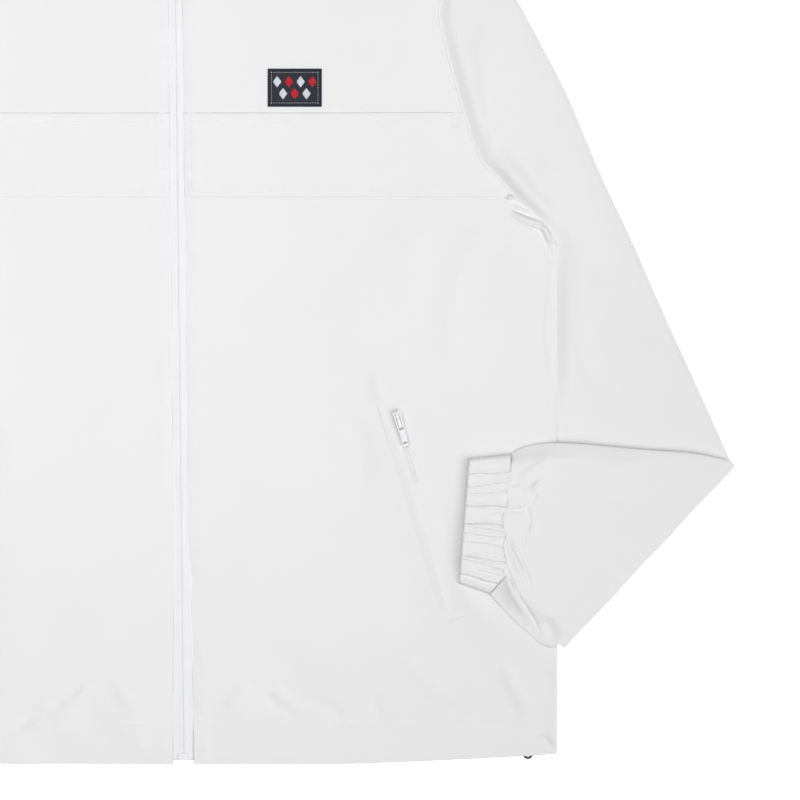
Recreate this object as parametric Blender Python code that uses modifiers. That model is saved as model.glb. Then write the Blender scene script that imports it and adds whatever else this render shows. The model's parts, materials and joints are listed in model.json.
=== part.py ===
# Windbreaker laid face up on a surface, zipped closed, forearms folded over the body
# Frame: +X to the wearer's left, +Y towards the collar, +Z up, the surface at z = 0
# "up" below is a height above the hem at the zip, "left" and "right" are the wearer's

import math
from collections import namedtuple

import bmesh
import bpy
from mathutils import Matrix, Vector

MM = 0.001
LEFT = 1
RIGHT = -1

# Driving dimensions of the body
HEM_Y = -364 * MM
BODY_HALF_WIDTH = 292 * MM
LOWER_SEAM_UP = 435 * MM
UPPER_SEAM_UP = 500 * MM
SHOULDER_TIP = (213 * MM, 629 * MM)
NECK_POINT = (83 * MM, 676 * MM)
FRONT_NECK_UP = 591 * MM
BACK_NECK_UP = 655 * MM
COLLAR_FRONT_TOP_UP = 655 * MM
COLLAR_SIDE_TOP_UP = 724 * MM
COLLAR_BACK_TOP_UP = 728 * MM

# The hem rises a little towards the side seams
HEM_RISE = 7.5 * MM
HEM_RISE_START = 125 * MM
BACK_HEM_SHORTER = 2.5 * MM

# Cloth, seams and the room between the layers
WALL = 1.0 * MM
SEAM_GAP = 0.3 * MM
SLEEVE_THICK = 3.3 * MM
FRONT_LOFT = 1.5 * MM
FRONT_LOFT_REACH = 30 * MM
NECK_OPEN_REACH = 45 * MM
LIFT_SHELF = 10 * MM
LIFT_REACH = 80 * MM

# Loft of the upper sleeve beside the body, gone near the elbow where the forearm lies on it
SLEEVE_LOFT = 2.6 * MM
SLEEVE_LOFT_START = 12 * MM
SLEEVE_LOFT_REACH = 40 * MM
SLEEVE_LOFT_FOOT_UP = 250 * MM
SLEEVE_LOFT_CLIMB = 60 * MM
SLEEVE_EDGE_SHARE = 0.14
FOREARM_EDGE_SHARE = 0.1

# Front zip, its line leans slightly
ZIP_FOOT_X = 4.6 * MM
ZIP_LEAN = -6.1 / 560
ZIP_STRIP_HALF = 7.6 * MM
TAPE_HALF_SPAN = 11.5 * MM
TAPE_THICK = 0.7 * MM
CHAIN_HALF = 2.4 * MM
CHAIN_THICK = 1.1 * MM
ZIP_BOTTOM_UP = 2 * MM
ZIP_TOP_UP = 652 * MM
BOX_SIZE = (8.6 * MM, 5.2 * MM, 1.4 * MM)

# Slanted pocket
POCKET_TOP = (167.1 * MM, 273.3 * MM)
POCKET_FOOT = (213.7 * MM, 112.4 * MM)
POCKET_STRIP_HALF = 3.4 * MM
POCKET_STRIP_THICK = 0.8 * MM
POCKET_WELT_WIDTH = 3.6 * MM
POCKET_WELT_THICK = 1.3 * MM
POCKET_WELT_END = 4.2 * MM
POCKET_CLEAR = 0.45 * MM
POCKET_STEPS = 12

# Slider and pull tab, shared by the front zip and the pockets
SLIDER_SIZE = (7.4 * MM, 8.8 * MM, 1.6 * MM)
BRIDGE_WIDTH = 2.0 * MM
BRIDGE_HALF_LENGTH = 3.2 * MM
BRIDGE_POST = 1.2 * MM
BRIDGE_BAR = 1.0 * MM
AXIS_OVER_SLIDER = 1.2 * MM
PULL_LENGTH = 24 * MM
PULL_WIDTH = 5.6 * MM
PULL_THICK = 1.2 * MM
PULL_HOLE_HALF = 1.7 * MM
PULL_HOLE_END = 4.8 * MM
PULL_DROOP = math.radians(5)
SLIDER_BELOW_COLLAR_TOP = 12 * MM
SLIDER_BELOW_POCKET_TOP = 7 * MM

# Elbow fold
ELBOW_TIP = (425 * MM, 232 * MM)
ELBOW_FOOT = (294 * MM, 92 * MM)
ELBOW_AXIS_Z = 5.0 * MM
ELBOW_STEPS = 5

# Gathered cuff
CUFF_SEAM_TOP = (254.2 * MM, 236 * MM)
CUFF_SEAM_FOOT = (238.6 * MM, 131 * MM)
CUFF_END_TOP = (224.6 * MM, 233.5 * MM)
CUFF_END_FOOT = (217 * MM, 138.5 * MM)
CUFF_SEAM_GAP = 0.45 * MM
CUFF_BOTTOM_Z = 8.2 * MM
CUFF_THICK = 6.6 * MM
GATHER_DEPTH = 1.1 * MM
GATHER_SWAY = 0.024
GATHER_SWAY_TURN = 9
CUFF_RUNS = [0, 0.3, 0.65, 1]
CUFF_ROUNDING = [0.007, 0.022, 0.04]

# Chest patch and the hem cord's loop
PATCH_CENTRE = (90.1 * MM, 519 * MM)
PATCH_SIZE = (41.6 * MM, 29.3 * MM, 0.9 * MM)
CORD_RADIUS = 0.9 * MM
CORD_LOOP_X = 269.5 * MM
CORD_LOOP_HALF = 3.6 * MM
CORD_LOOP_FOOT_UP = 2.6 * MM

COLOURS = {
    "cloth": ((0.85, 0.85, 0.86, 1), 0.75, 0.0),
    "tape": ((0.83, 0.83, 0.86, 1), 0.8, 0.0),
    "plastic": ((0.86, 0.86, 0.88, 1), 0.35, 0.0),
    "patch": ((0.012, 0.016, 0.035, 1), 0.85, 0.0),
    "cord": ((0.05, 0.05, 0.055, 1), 0.8, 0.0),
}

# Outer edge of the body: side seam, then the armhole to the shoulder tip
EdgeRow = namedtuple("EdgeRow", "up x")
BODY_EDGE = [
    EdgeRow(-20, 292),
    EdgeRow(396, 292),
    EdgeRow(404, 289),
    EdgeRow(416, 278.7),
    EdgeRow(433, 259.5),
    EdgeRow(450, 246),
    EdgeRow(463.5, 233),
    EdgeRow(496, 221),
    EdgeRow(517, 214.8),
    EdgeRow(558, 204),
    EdgeRow(579, 201),
    EdgeRow(629, 213),
]

# Sleeve edge that lies hidden under the body, from the elbow up to the shoulder
UNDER_EDGE = [
    EdgeRow(0, 420),
    EdgeRow(60, 330),
    EdgeRow(92, 294),
    EdgeRow(113, 272),
    EdgeRow(150, 247),
    EdgeRow(190, 224),
    EdgeRow(225, 207),
    EdgeRow(258, 193),
    EdgeRow(290, 185),
    EdgeRow(332, 183),
    EdgeRow(352, 184.5),
    EdgeRow(372, 189),
    EdgeRow(392, 200),
    EdgeRow(415, 213.5),
    EdgeRow(438, 222),
    EdgeRow(463, 225),
    EdgeRow(496, 215),
    EdgeRow(517, 208.5),
    EdgeRow(558, 198),
    EdgeRow(579, 195),
    EdgeRow(624, 207),
    EdgeRow(680, 272),
]

# Upper sleeve: both ends of each section, and how much it follows the armhole's curve
SleeveRow = namedtuple("SleeveRow", "outer_x outer_up inner_x inner_up armhole_share")
UPPER_SLEEVE = [
    SleeveRow(208, 624, 189, 372, 1.0),
    SleeveRow(236, 612, 184.5, 352, 0.9),
    SleeveRow(259, 590, 183, 332, 0.7),
    SleeveRow(279, 554, 183, 312, 0.4),
    SleeveRow(300.3, 512, 185, 290, 0.15),
    SleeveRow(325, 453, 193, 258, 0.0),
    SleeveRow(349.6, 400.4, 207, 225, 0.0),
    SleeveRow(374, 345, 224, 190, 0.0),
    SleeveRow(399, 290, 247, 150, 0.0),
    SleeveRow(417, 250, 272, 113, 0.0),
]

# Forearm after the fold: section ends, underside height and thickness
ForearmRow = namedtuple("ForearmRow", "outer_x outer_up inner_x inner_up bottom thick")
FOREARM = [
    ForearmRow(396, 238, 286, 89.5, 6.9, 4.0),
    ForearmRow(362, 240.5, 277, 93, 7.2, 5.0),
    ForearmRow(334, 243, 269.5, 100, 7.5, 5.8),
    ForearmRow(308, 245.3, 261, 107, 7.8, 6.2),
    ForearmRow(286, 245.8, 253, 115.5, 8.0, 6.4),
    ForearmRow(268, 243.5, 246, 123, 8.1, 6.4),
    ForearmRow(254.8, 240, 239.3, 130.5, 8.2, 6.2),
]

# Soft ridges: both ends, half width and height
FoldRow = namedtuple("FoldRow", "start_x start_up end_x end_up spread height")
ARMPIT_FOLDS = [
    FoldRow(262, 428, 284, 415, 6, 2.2),
    FoldRow(275, 416, 290, 403, 5, 1.8),
]
SLEEVE_FOLDS = [
    FoldRow(262, 560, 330, 400, 11, 1.5),
    FoldRow(240, 560, 300, 440, 9, 1.2),
    FoldRow(318, 380, 352, 300, 12, 1.3),
]
FOREARM_FOLDS = [
    FoldRow(251, 176, 272, 135, 6, 1.8),
    FoldRow(251, 156, 280, 96, 6, 2.0),
    FoldRow(254, 213, 288, 234, 6, 1.6),
    FoldRow(256, 196, 276, 214, 5, 1.4),
    FoldRow(330, 190, 356, 168, 10, 1.2),
]

# Gathers on each face of a cuff: share of the way down the seam, and depth share
GatherRow = namedtuple("GatherRow", "place depth")
CUFF_GATHERS = [
    GatherRow(0.07, 0.6),
    GatherRow(0.15, 0.9),
    GatherRow(0.22, 0.8),
    GatherRow(0.29, 1.0),
    GatherRow(0.37, 1.2),
    GatherRow(0.49, 1.2),
    GatherRow(0.55, 0.9),
    GatherRow(0.63, 0.8),
    GatherRow(0.71, 1.0),
    GatherRow(0.77, 0.8),
    GatherRow(0.84, 1.1),
    GatherRow(0.92, 1.0),
]

# Shared stations of the body's grid
LOWER_STATIONS = [28.5, 60, 95, 130, 170, 215, 260, 305, 350, 382, 400, 410, 418, 426]
BAND_STATIONS = [435, 447, 460, 478, 500]
YOKE_SHARES = [0, 0.15, 0.32, 0.48, 0.64, 0.8, 0.92, 1]
ACROSS_SHARES = [0, 0.12, 0.28, 0.42, 0.54, 0.65, 0.75, 0.84, 0.91, 0.96, 1]
NECK_TURNS = [0, 0.22, 0.44, 0.66, 0.85, 1]
SHOULDER_RUNS = [0.28, 0.54, 0.75, 0.9, 1]


def smooth(value):
    value = min(1.0, max(0.0, value))
    return value * value * (3 - 2 * value)


def mix(first, second, share):
    return first + (second - first) * share


# Smooth curve through a table of edges, straight beyond its ends
def edge_at(rows, up):
    place = up / MM
    if place <= rows[0].up:
        return rows[0].x * MM
    if place >= rows[-1].up:
        return rows[-1].x * MM
    index = max(i for i, row in enumerate(rows) if row.up <= place)
    before, here, after = rows[max(index - 1, 0)], rows[index], rows[index + 1]
    beyond = rows[min(index + 2, len(rows) - 1)]
    span = after.up - here.up
    share = (place - here.up) / span
    slope_here = (after.x - before.x) / (after.up - before.up) * span
    slope_after = (beyond.x - here.x) / (beyond.up - here.up) * span
    square, cube = share * share, share ** 3
    value = here.x * (2 * cube - 3 * square + 1) + slope_here * (cube - 2 * square + share)
    value += after.x * (3 * square - 2 * cube) + slope_after * (cube - square)
    return value * MM


def body_edge(up):
    return edge_at(BODY_EDGE, up)


def zip_line(up):
    return ZIP_FOOT_X + ZIP_LEAN * up


def hem_up(x):
    run = max(0.0, abs(x) - HEM_RISE_START) / (BODY_HALF_WIDTH - HEM_RISE_START)
    return HEM_RISE * run ** 1.3


# Height that the hidden part of a sleeve gives to the body above it
def body_lift(x, up):
    distance = edge_at(UNDER_EDGE, up) - abs(x) - LIFT_SHELF
    return (SLEEVE_THICK + SEAM_GAP) * smooth(1 - distance / LIFT_REACH)


# Distance from the side seam, armhole and shoulder seam, left open beside the neck point
def edge_distance(x, up):
    side = body_edge(up) - abs(x)
    slope = (SHOULDER_TIP[1] - NECK_POINT[1]) / (SHOULDER_TIP[0] - NECK_POINT[0])
    shoulder = NECK_POINT[1] + slope * (abs(x) - NECK_POINT[0]) - up
    neck = math.hypot(abs(x) - NECK_POINT[0], up - NECK_POINT[1])
    return min(side, shoulder + max(0.0, NECK_OPEN_REACH - neck))


def ridge_height(x, up, folds):
    total = 0.0
    for fold in folds:
        start = Vector((fold.start_x * MM, fold.start_up * MM))
        end = Vector((fold.end_x * MM, fold.end_up * MM))
        along = end - start
        share = (Vector((abs(x), up)) - start).dot(along) / along.length_squared
        share = min(1.0, max(0.0, share))
        distance = (Vector((abs(x), up)) - start - along * share).length
        total += fold.height * MM * math.exp(-(distance / (fold.spread * MM)) ** 2)
    return total


def back_bottom(x, up):
    return body_lift(x, up)


def front_bottom(x, up):
    loft = FRONT_LOFT * smooth(edge_distance(x, up) / FRONT_LOFT_REACH)
    height = back_bottom(x, up) + WALL + SEAM_GAP + loft
    return height + ridge_height(x, up, ARMPIT_FOLDS)


def front_top(x, up):
    return front_bottom(x, up) + WALL


def world_point(x, up, z):
    return Vector((x, HEM_Y + up, z))


def make_material(name):
    material = bpy.data.materials.get(name)
    if material is None:
        colour, roughness, metallic = COLOURS[name]
        material = bpy.data.materials.new(name)
        material.use_nodes = True
        shader = material.node_tree.nodes["Principled BSDF"]
        shader.inputs["Base Color"].default_value = colour
        shader.inputs["Roughness"].default_value = roughness
        shader.inputs["Metallic"].default_value = metallic
    return material


def add_object(name, mesh, material):
    piece = bpy.data.objects.new(name, mesh)
    parts.objects.link(piece)
    mesh.materials.append(make_material(material))
    mesh.shade_smooth()
    mesh.set_sharp_from_angle(angle=math.radians(40))
    return piece


# Open surface from rows of points, made a cloth wall by Solidify
def cloth_sheet(name, rows, material, thickness, offset, upward, closed_round=False):
    mesh = bpy.data.meshes.new(name)
    surface = bmesh.new()
    grid = [[surface.verts.new(point) for point in row] for row in rows]
    for lower, higher in zip(grid, grid[1:]):
        count = len(lower)
        for index in range(count if closed_round else count - 1):
            beside = (index + 1) % count
            corners = [lower[index], lower[beside], higher[beside], higher[index]]
            surface.faces.new(corners if upward else reversed(corners))
    surface.to_mesh(mesh)
    surface.free()
    piece = add_object(name, mesh, material)
    solidify = piece.modifiers.new("cloth wall", "SOLIDIFY")
    solidify.thickness = thickness
    solidify.offset = offset
    return piece


def panel(name, rows, side, bottom, material="cloth", thickness=WALL):
    points = [[world_point(side * x, up, bottom(x, up)) for x, up in row] for row in rows]
    return cloth_sheet(name, points, material, thickness, 1, side == LEFT)


# Inner edge of a front panel in the mirrored frame of its own side
def strip_edge(side, up):
    return side * zip_line(up) + ZIP_STRIP_HALF


def straight_rows(side, stations):
    rows = []
    for up in stations:
        inner, outer = strip_edge(side, up), body_edge(up)
        rows.append([(mix(inner, outer, share), up) for share in ACROSS_SHARES])
    return rows


def hem_row(inner, shorter=0.0):
    row = []
    for share in ACROSS_SHARES:
        x = mix(inner, BODY_HALF_WIDTH, share)
        row.append((x, hem_up(x) + shorter))
    return row


# Neckline as a quarter of an ellipse from the zip to the neck point
def neck_arc(start_x, start_up, end_x, end_up, turn):
    x = start_x + (end_x - start_x) * math.sin(turn)
    return x, end_up - (end_up - start_up) * math.cos(turn)


# Neckline at its stations, then the shoulder seam at its own
def top_edge(start_x, start_up):
    points = []
    for turn in NECK_TURNS:
        points.append(neck_arc(start_x, start_up, *NECK_POINT, turn * math.pi / 2))
    for run in SHOULDER_RUNS:
        x, up = (mix(NECK_POINT[axis], SHOULDER_TIP[axis], run) for axis in (0, 1))
        points.append((x, up))
    return points


def yoke_rows(inner, base_up, neck_up):
    start_x = inner(neck_up)
    edge = top_edge(start_x, neck_up)
    edge_shares = [(x - start_x) / (SHOULDER_TIP[0] - start_x) for x, up in edge]
    rows = []
    for climb in YOKE_SHARES:
        inner_up = mix(base_up, neck_up, climb)
        outer_up = mix(base_up, SHOULDER_TIP[1], climb)
        row = []
        for (top_x, top_up), edge_share, across in zip(edge, edge_shares, ACROSS_SHARES):
            share = mix(across, edge_share, climb)
            x = mix(inner(inner_up), body_edge(outer_up), share)
            up = mix(inner_up, outer_up, share)
            x += climb * (top_x - mix(start_x, SHOULDER_TIP[0], share))
            up += climb * (top_up - mix(neck_up, SHOULDER_TIP[1], share))
            row.append((x, up))
        rows.append(row)
    return rows


def make_fronts(side, word):
    half_gap = SEAM_GAP / 2
    lower = [station * MM for station in LOWER_STATIONS]
    rows = [hem_row(strip_edge(side, 0))]
    rows += straight_rows(side, lower + [LOWER_SEAM_UP - half_gap])
    panel("front_lower_" + word, rows, side, front_bottom)
    band = [station * MM for station in BAND_STATIONS]
    band[0] += half_gap
    band[-1] -= half_gap
    panel("chest_band_" + word, straight_rows(side, band), side, front_bottom)
    yoke = yoke_rows(lambda up: strip_edge(side, up), UPPER_SEAM_UP + half_gap, FRONT_NECK_UP)
    panel("yoke_" + word, yoke, side, front_bottom)


def make_back():
    stations = LOWER_STATIONS + BAND_STATIONS[:-1]
    half = [hem_row(0.0, BACK_HEM_SHORTER)]
    for station in stations:
        up = station * MM
        half.append([(body_edge(up) * share, up) for share in ACROSS_SHARES])
    half += yoke_rows(lambda up: 0.0, UPPER_SEAM_UP, BACK_NECK_UP)
    rows = []
    for row in half:
        points = [world_point(-x, up, back_bottom(x, up)) for x, up in reversed(row[1:])]
        points += [world_point(x, up, back_bottom(x, up)) for x, up in row]
        rows.append(points)
    cloth_sheet("back", rows, "cloth", WALL, 1, True)


# Collar: one strip from the zip round behind the neck to the zip again
def make_collar():
    front_z = front_bottom(0, FRONT_NECK_UP) + WALL / 2
    back_z = WALL / 2
    fold_radius = (front_z - back_z) / 2
    fold_steps = 3
    side_x = NECK_POINT[0] - SEAM_GAP
    side_base, side_top = NECK_POINT[1] + SEAM_GAP, COLLAR_SIDE_TOP_UP
    columns = []
    for side in (LEFT, RIGHT):
        half = []
        for station in NECK_TURNS:
            turn = station * math.pi / 2
            base_x = strip_edge(side, FRONT_NECK_UP)
            top_x = strip_edge(side, COLLAR_FRONT_TOP_UP)
            base = neck_arc(base_x, FRONT_NECK_UP + SEAM_GAP, side_x, side_base, turn)
            top = neck_arc(top_x, COLLAR_FRONT_TOP_UP, side_x, side_top, turn)
            half.append((base, top, 0.0, front_z))
        for step in range(1, fold_steps):
            turn = step / fold_steps * math.pi
            out = fold_radius * math.sin(turn)
            z = (front_z + back_z) / 2 + fold_radius * math.cos(turn)
            half.append(((side_x, side_base), (side_x, side_top), out, z))
        for station in reversed(NECK_TURNS):
            turn = station * math.pi / 2
            base = neck_arc(0, BACK_NECK_UP + SEAM_GAP, side_x, side_base, turn)
            top = neck_arc(0, COLLAR_BACK_TOP_UP, side_x, side_top, turn)
            half.append((base, top, 0.0, back_z))
        line = []
        for base, top, out, z in half:
            line.append([
                world_point(side * (mix(base[0], top[0], rise) + out), mix(base[1], top[1], rise), z)
                for rise in (0, 0.35, 0.7, 1)
            ])
        columns.append(line if side == LEFT else list(reversed(line))[1:])
    cloth_sheet("collar", columns[0] + columns[1], "cloth", WALL, 0, False)


# Shares across a flattened tube, crowded at both rounded edges
def tube_shares(width, radius, faces):
    rounding = [radius * (1 - math.cos(turn * math.pi / 4)) / width for turn in (1, 2)]
    inside = [step / faces for step in range(1, faces)]
    inside = [share for share in inside if rounding[-1] * 1.6 < share < 1 - rounding[-1] * 1.6]
    return [0.0] + rounding + inside + [1 - share for share in reversed(rounding)] + [1.0]


# One closed section of a flattened tube: along the upper face, then back along the lower
def tube_section(place, normal, width, thick, upper_extra, shares, lower_extra=None):
    radius = thick / 2
    upper, lower = [], []
    for share in shares:
        inset = min(share, 1 - share) * width
        reach = radius
        if inset < radius:
            reach = math.sqrt(max(0.0, radius ** 2 - (radius - inset) ** 2))
        middle = place(share)
        upper.append(middle + normal * (reach + upper_extra(share)))
        lower.append(middle - normal * (reach + (lower_extra(share) if lower_extra else 0.0)))
    return upper + list(reversed(lower[1:-1]))


def sleeve_line(row, side):
    outer = Vector((side * row.outer_x * MM, HEM_Y + row.outer_up * MM, 0))
    inner = Vector((side * row.inner_x * MM, HEM_Y + row.inner_up * MM, 0))
    return outer, inner


# How far the armhole's curve leaves the straight line between the first section's ends
def armhole_bow(share, side):
    first = UPPER_SLEEVE[0]
    up = mix(first.outer_up, first.inner_up, share) * MM
    bow = edge_at(UNDER_EDGE, up) - mix(first.outer_x, first.inner_x, share) * MM
    return Vector((side * bow, 0, 0))


# Loft of the upper sleeve's visible part, none under the body or the forearm
def sleeve_loft(point):
    x, up = abs(point.x), point.y - HEM_Y
    beside = smooth((x - body_edge(up) - SLEEVE_LOFT_START) / SLEEVE_LOFT_REACH)
    above = smooth((up - SLEEVE_LOFT_FOOT_UP) / SLEEVE_LOFT_CLIMB)
    loft = SLEEVE_LOFT + ridge_height(x, up, SLEEVE_FOLDS)
    return loft * beside * above


def make_sleeve(side, word):
    up_vector = Vector((0, 0, 1))
    radius = SLEEVE_THICK / 2
    shares = tube_shares(180 * MM, radius, 11)
    sections = []
    for row in UPPER_SLEEVE:
        outer, inner = sleeve_line(row, side)

        def place(share, outer=outer, inner=inner, row=row):
            point = outer.lerp(inner, share) + armhole_bow(share, side) * row.armhole_share
            return point + up_vector * radius

        def loft(share, place=place):
            return sleeve_loft(place(share)) * smooth(min(share, 1 - share) / SLEEVE_EDGE_SHARE)

        width = (outer - inner).length
        sections.append(tube_section(place, up_vector, width, SLEEVE_THICK, loft, shares))
    tip = world_point(side * ELBOW_TIP[0], ELBOW_TIP[1], 0)
    foot = world_point(side * ELBOW_FOOT[0], ELBOW_FOOT[1], 0)
    outward = (tip - foot).cross(up_vector).normalized() * side
    fold_radius = ELBOW_AXIS_Z - radius
    for step in range(ELBOW_STEPS + 1):
        turn = step / ELBOW_STEPS * math.pi
        shift = outward * fold_radius * math.sin(turn)
        shift += up_vector * (ELBOW_AXIS_Z - fold_radius * math.cos(turn))
        normal = up_vector * math.cos(turn) - outward * math.sin(turn)
        sections.append(tube_section(
            lambda share: tip.lerp(foot, share) + shift,
            normal, (tip - foot).length, SLEEVE_THICK, lambda share: 0.0, shares,
        ))
    for row in FOREARM:
        outer, inner = sleeve_line(row, side)
        middle_z = (row.bottom + row.thick / 2) * MM

        def place(share, outer=outer, inner=inner, middle_z=middle_z):
            return outer.lerp(inner, share) + up_vector * middle_z

        def crease(share, place=place):
            point = place(share)
            height = ridge_height(point.x, point.y - HEM_Y, FOREARM_FOLDS)
            return height * smooth(min(share, 1 - share) / FOREARM_EDGE_SHARE)

        width = (outer - inner).length
        sections.append(tube_section(
            place, -up_vector, width, row.thick * MM, lambda share: 0.0, shares, crease,
        ))
    cloth_sheet("sleeve_" + word, sections, "cloth", WALL, -1, side == LEFT, True)


# Cuff: a short flattened tube whose two faces dip at every gather
def make_cuff(side, word):
    up_vector = Vector((0, 0, 1))
    stops = [0.0]
    for before, after in zip(CUFF_GATHERS, CUFF_GATHERS[1:]):
        stops += [before.place, mix(before.place, after.place, 0.3), mix(before.place, after.place, 0.7)]
    stops += [CUFF_GATHERS[-1].place, 1.0]
    far_edge = [1 - share for share in reversed(CUFF_ROUNDING)]
    shares = [0.0] + CUFF_ROUNDING + stops[1:-1] + far_edge + [1.0]
    dips = {gather.place: gather.depth for gather in CUFF_GATHERS}
    sections = []
    for run in CUFF_RUNS:
        top = Vector(CUFF_SEAM_TOP).lerp(Vector(CUFF_END_TOP), run)
        foot = Vector(CUFF_SEAM_FOOT).lerp(Vector(CUFF_END_FOOT), run)
        outer = world_point(side * (top.x - CUFF_SEAM_GAP), top.y, CUFF_BOTTOM_Z + CUFF_THICK / 2)
        inner = world_point(side * (foot.x - CUFF_SEAM_GAP), foot.y, CUFF_BOTTOM_Z + CUFF_THICK / 2)
        sway = GATHER_SWAY * math.sin(run * math.pi)

        def place(share, outer=outer, inner=inner, sway=sway):
            drift = sway * math.sin(share * GATHER_SWAY_TURN) * min(share, 1 - share)
            return outer.lerp(inner, share + drift)

        def dip(share, run=run):
            return -GATHER_DEPTH * dips.get(share, 0.0) * (1 - 0.3 * run)

        sections.append(tube_section(
            place, -up_vector, (outer - inner).length, CUFF_THICK, dip, shares, dip,
        ))
    cloth_sheet("cuff_" + word, sections, "cloth", WALL, -1, side == LEFT, True)


# Straight strip of the zip, from the hem to the collar's top
def zip_strip(name, first_offset, last_offset, bottom_z, thickness, material):
    rows = []
    steps = 8
    for step in range(steps + 1):
        up = mix(ZIP_BOTTOM_UP, ZIP_TOP_UP, step / steps)
        line = zip_line(up)
        rows.append([world_point(line + offset, up, bottom_z) for offset in (first_offset, last_offset)])
    cloth_sheet(name, rows, material, thickness, 1, True)


def add_box(name, size, location, material):
    bpy.ops.mesh.primitive_cube_add(size=1, location=location)
    box = bpy.context.object
    box.name = name
    box.data.transform(Matrix.Diagonal((*size, 1)))
    box.data.materials.append(make_material(material))
    for collection in list(box.users_collection):
        collection.objects.unlink(box)
    return box


def add_bevel(piece, width):
    bevel = piece.modifiers.new("worn edge", "BEVEL")
    bevel.width = width
    bevel.segments = 1
    bevel.limit_method = "ANGLE"


def make_front_zip():
    tape_z = front_bottom(0, 300 * MM) - SEAM_GAP - TAPE_THICK
    inner = CHAIN_HALF + SEAM_GAP
    zip_strip("zip_tape_left", inner, TAPE_HALF_SPAN, tape_z, TAPE_THICK, "tape")
    zip_strip("zip_tape_right", -TAPE_HALF_SPAN, -inner, tape_z, TAPE_THICK, "tape")
    chain_z = tape_z + (TAPE_THICK - CHAIN_THICK) / 2
    zip_strip("zip_chain", -CHAIN_HALF, CHAIN_HALF, chain_z, CHAIN_THICK, "tape")
    box_up = ZIP_BOTTOM_UP + BOX_SIZE[1] / 2
    box_z = chain_z + CHAIN_THICK + SEAM_GAP + BOX_SIZE[2] / 2
    place = world_point(zip_line(box_up), box_up, box_z)
    box = add_box("zip_box", BOX_SIZE, place, "plastic")
    parts.objects.link(box)
    add_bevel(box, 0.35 * MM)
    return chain_z + CHAIN_THICK


# Slider plate with the bridge that traps the pull, open along the hinge's axis
def make_slider(name, location, angle):
    plate_z = SLIDER_SIZE[2] / 2
    bar_bottom = SLIDER_SIZE[2] + 2 * AXIS_OVER_SLIDER
    height = bar_bottom + BRIDGE_BAR
    slider = add_box(name, SLIDER_SIZE, (0, 0, 0), "plastic")
    slider.data.transform(Matrix.Translation((0, 0, plate_z)))
    parts.objects.link(slider)
    bridge_size = (BRIDGE_WIDTH, 2 * BRIDGE_HALF_LENGTH, height - plate_z)
    bridge = add_box(name + "_bridge", bridge_size, (0, 0, (height + plate_z) / 2), "plastic")
    tunnel_length = 2 * (BRIDGE_HALF_LENGTH - BRIDGE_POST)
    tunnel_size = (2 * BRIDGE_WIDTH, tunnel_length, 2 * AXIS_OVER_SLIDER)
    tunnel_z = SLIDER_SIZE[2] + AXIS_OVER_SLIDER
    tunnel = add_box(name + "_tunnel", tunnel_size, (0, 0, tunnel_z), "plastic")
    for cutter, operation in ((bridge, "UNION"), (tunnel, "DIFFERENCE")):
        cutters.objects.link(cutter)
        cutter.hide_render = True
        cutter.display_type = "WIRE"
        cutter.parent = slider
        boolean = slider.modifiers.new(operation.lower(), "BOOLEAN")
        boolean.operation = operation
        boolean.solver = "EXACT"
        boolean.object = cutter
    slider.location = location
    slider.rotation_euler.z = angle
    return slider


# Pull tab: a flat tab with the hole that its bridge passes through, its origin on the hinge
def make_pull(name, location, angle):
    outline = bpy.data.curves.new(name, "CURVE")
    outline.dimensions = "2D"
    outline.fill_mode = "BOTH"
    outline.extrude = PULL_THICK / 2
    half, bar, corner = PULL_WIDTH / 2, PULL_THICK / 2, 1.2 * MM
    outside = [
        (-half + corner, bar), (half - corner, bar), (half, bar - corner),
        (half * 0.8, -PULL_LENGTH + corner), (half * 0.8 - corner, -PULL_LENGTH),
        (-half * 0.8 + corner, -PULL_LENGTH), (-half * 0.8, -PULL_LENGTH + corner),
        (-half, bar - corner),
    ]
    hole = [
        (-PULL_HOLE_HALF, -bar), (PULL_HOLE_HALF, -bar),
        (PULL_HOLE_HALF, -PULL_HOLE_END), (-PULL_HOLE_HALF, -PULL_HOLE_END),
    ]
    for points in (outside, hole):
        spline = outline.splines.new("POLY")
        spline.points.add(len(points) - 1)
        for point, (x, y) in zip(spline.points, points):
            point.co = (x, y, 0, 1)
        spline.use_cyclic_u = True
    outline.materials.append(make_material("plastic"))
    pull = bpy.data.objects.new(name, outline)
    parts.objects.link(pull)
    pull.rotation_mode = "XYZ"
    pull.rotation_euler = (PULL_DROOP, 0, angle)
    pull.location = location
    return pull


def make_slider_and_pull(slider_name, pull_name, base, angle):
    make_slider(slider_name, base, angle)
    hinge = base + Vector((0, 0, SLIDER_SIZE[2] + AXIS_OVER_SLIDER))
    make_pull(pull_name, hinge, angle)


def bracket(stations, value):
    index = max(i for i, station in enumerate(stations[:-1]) if station <= value)
    share = (value - stations[index]) / (stations[index + 1] - stations[index])
    return stations[index], stations[index + 1], share


# Top of the lower front as its own grid makes it, so that a piece laid there follows its faces
def lower_front_top(side, x, up):
    low_up, high_up, climb = bracket([station * MM for station in LOWER_STATIONS], up)
    heights = []
    for row_up in (low_up, high_up):
        inner, outer = strip_edge(side, row_up), body_edge(row_up)
        near, far, share = bracket(ACROSS_SHARES, (x - inner) / (outer - inner))
        corners = [front_top(mix(inner, outer, stop), row_up) for stop in (near, far)]
        heights.append(mix(*corners, share))
    return mix(*heights, climb)


# Point along the pocket, offset to one side of its line and lying on the front panel
def pocket_point(side, run, offset, above):
    top, foot = Vector(POCKET_TOP), Vector(POCKET_FOOT)
    along = (foot - top).normalized()
    across = Vector((-along.y, along.x))
    place = top.lerp(foot, run) + across * offset
    surface = lower_front_top(side, place.x, place.y)
    return world_point(side * place.x, place.y, surface + above)


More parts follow.
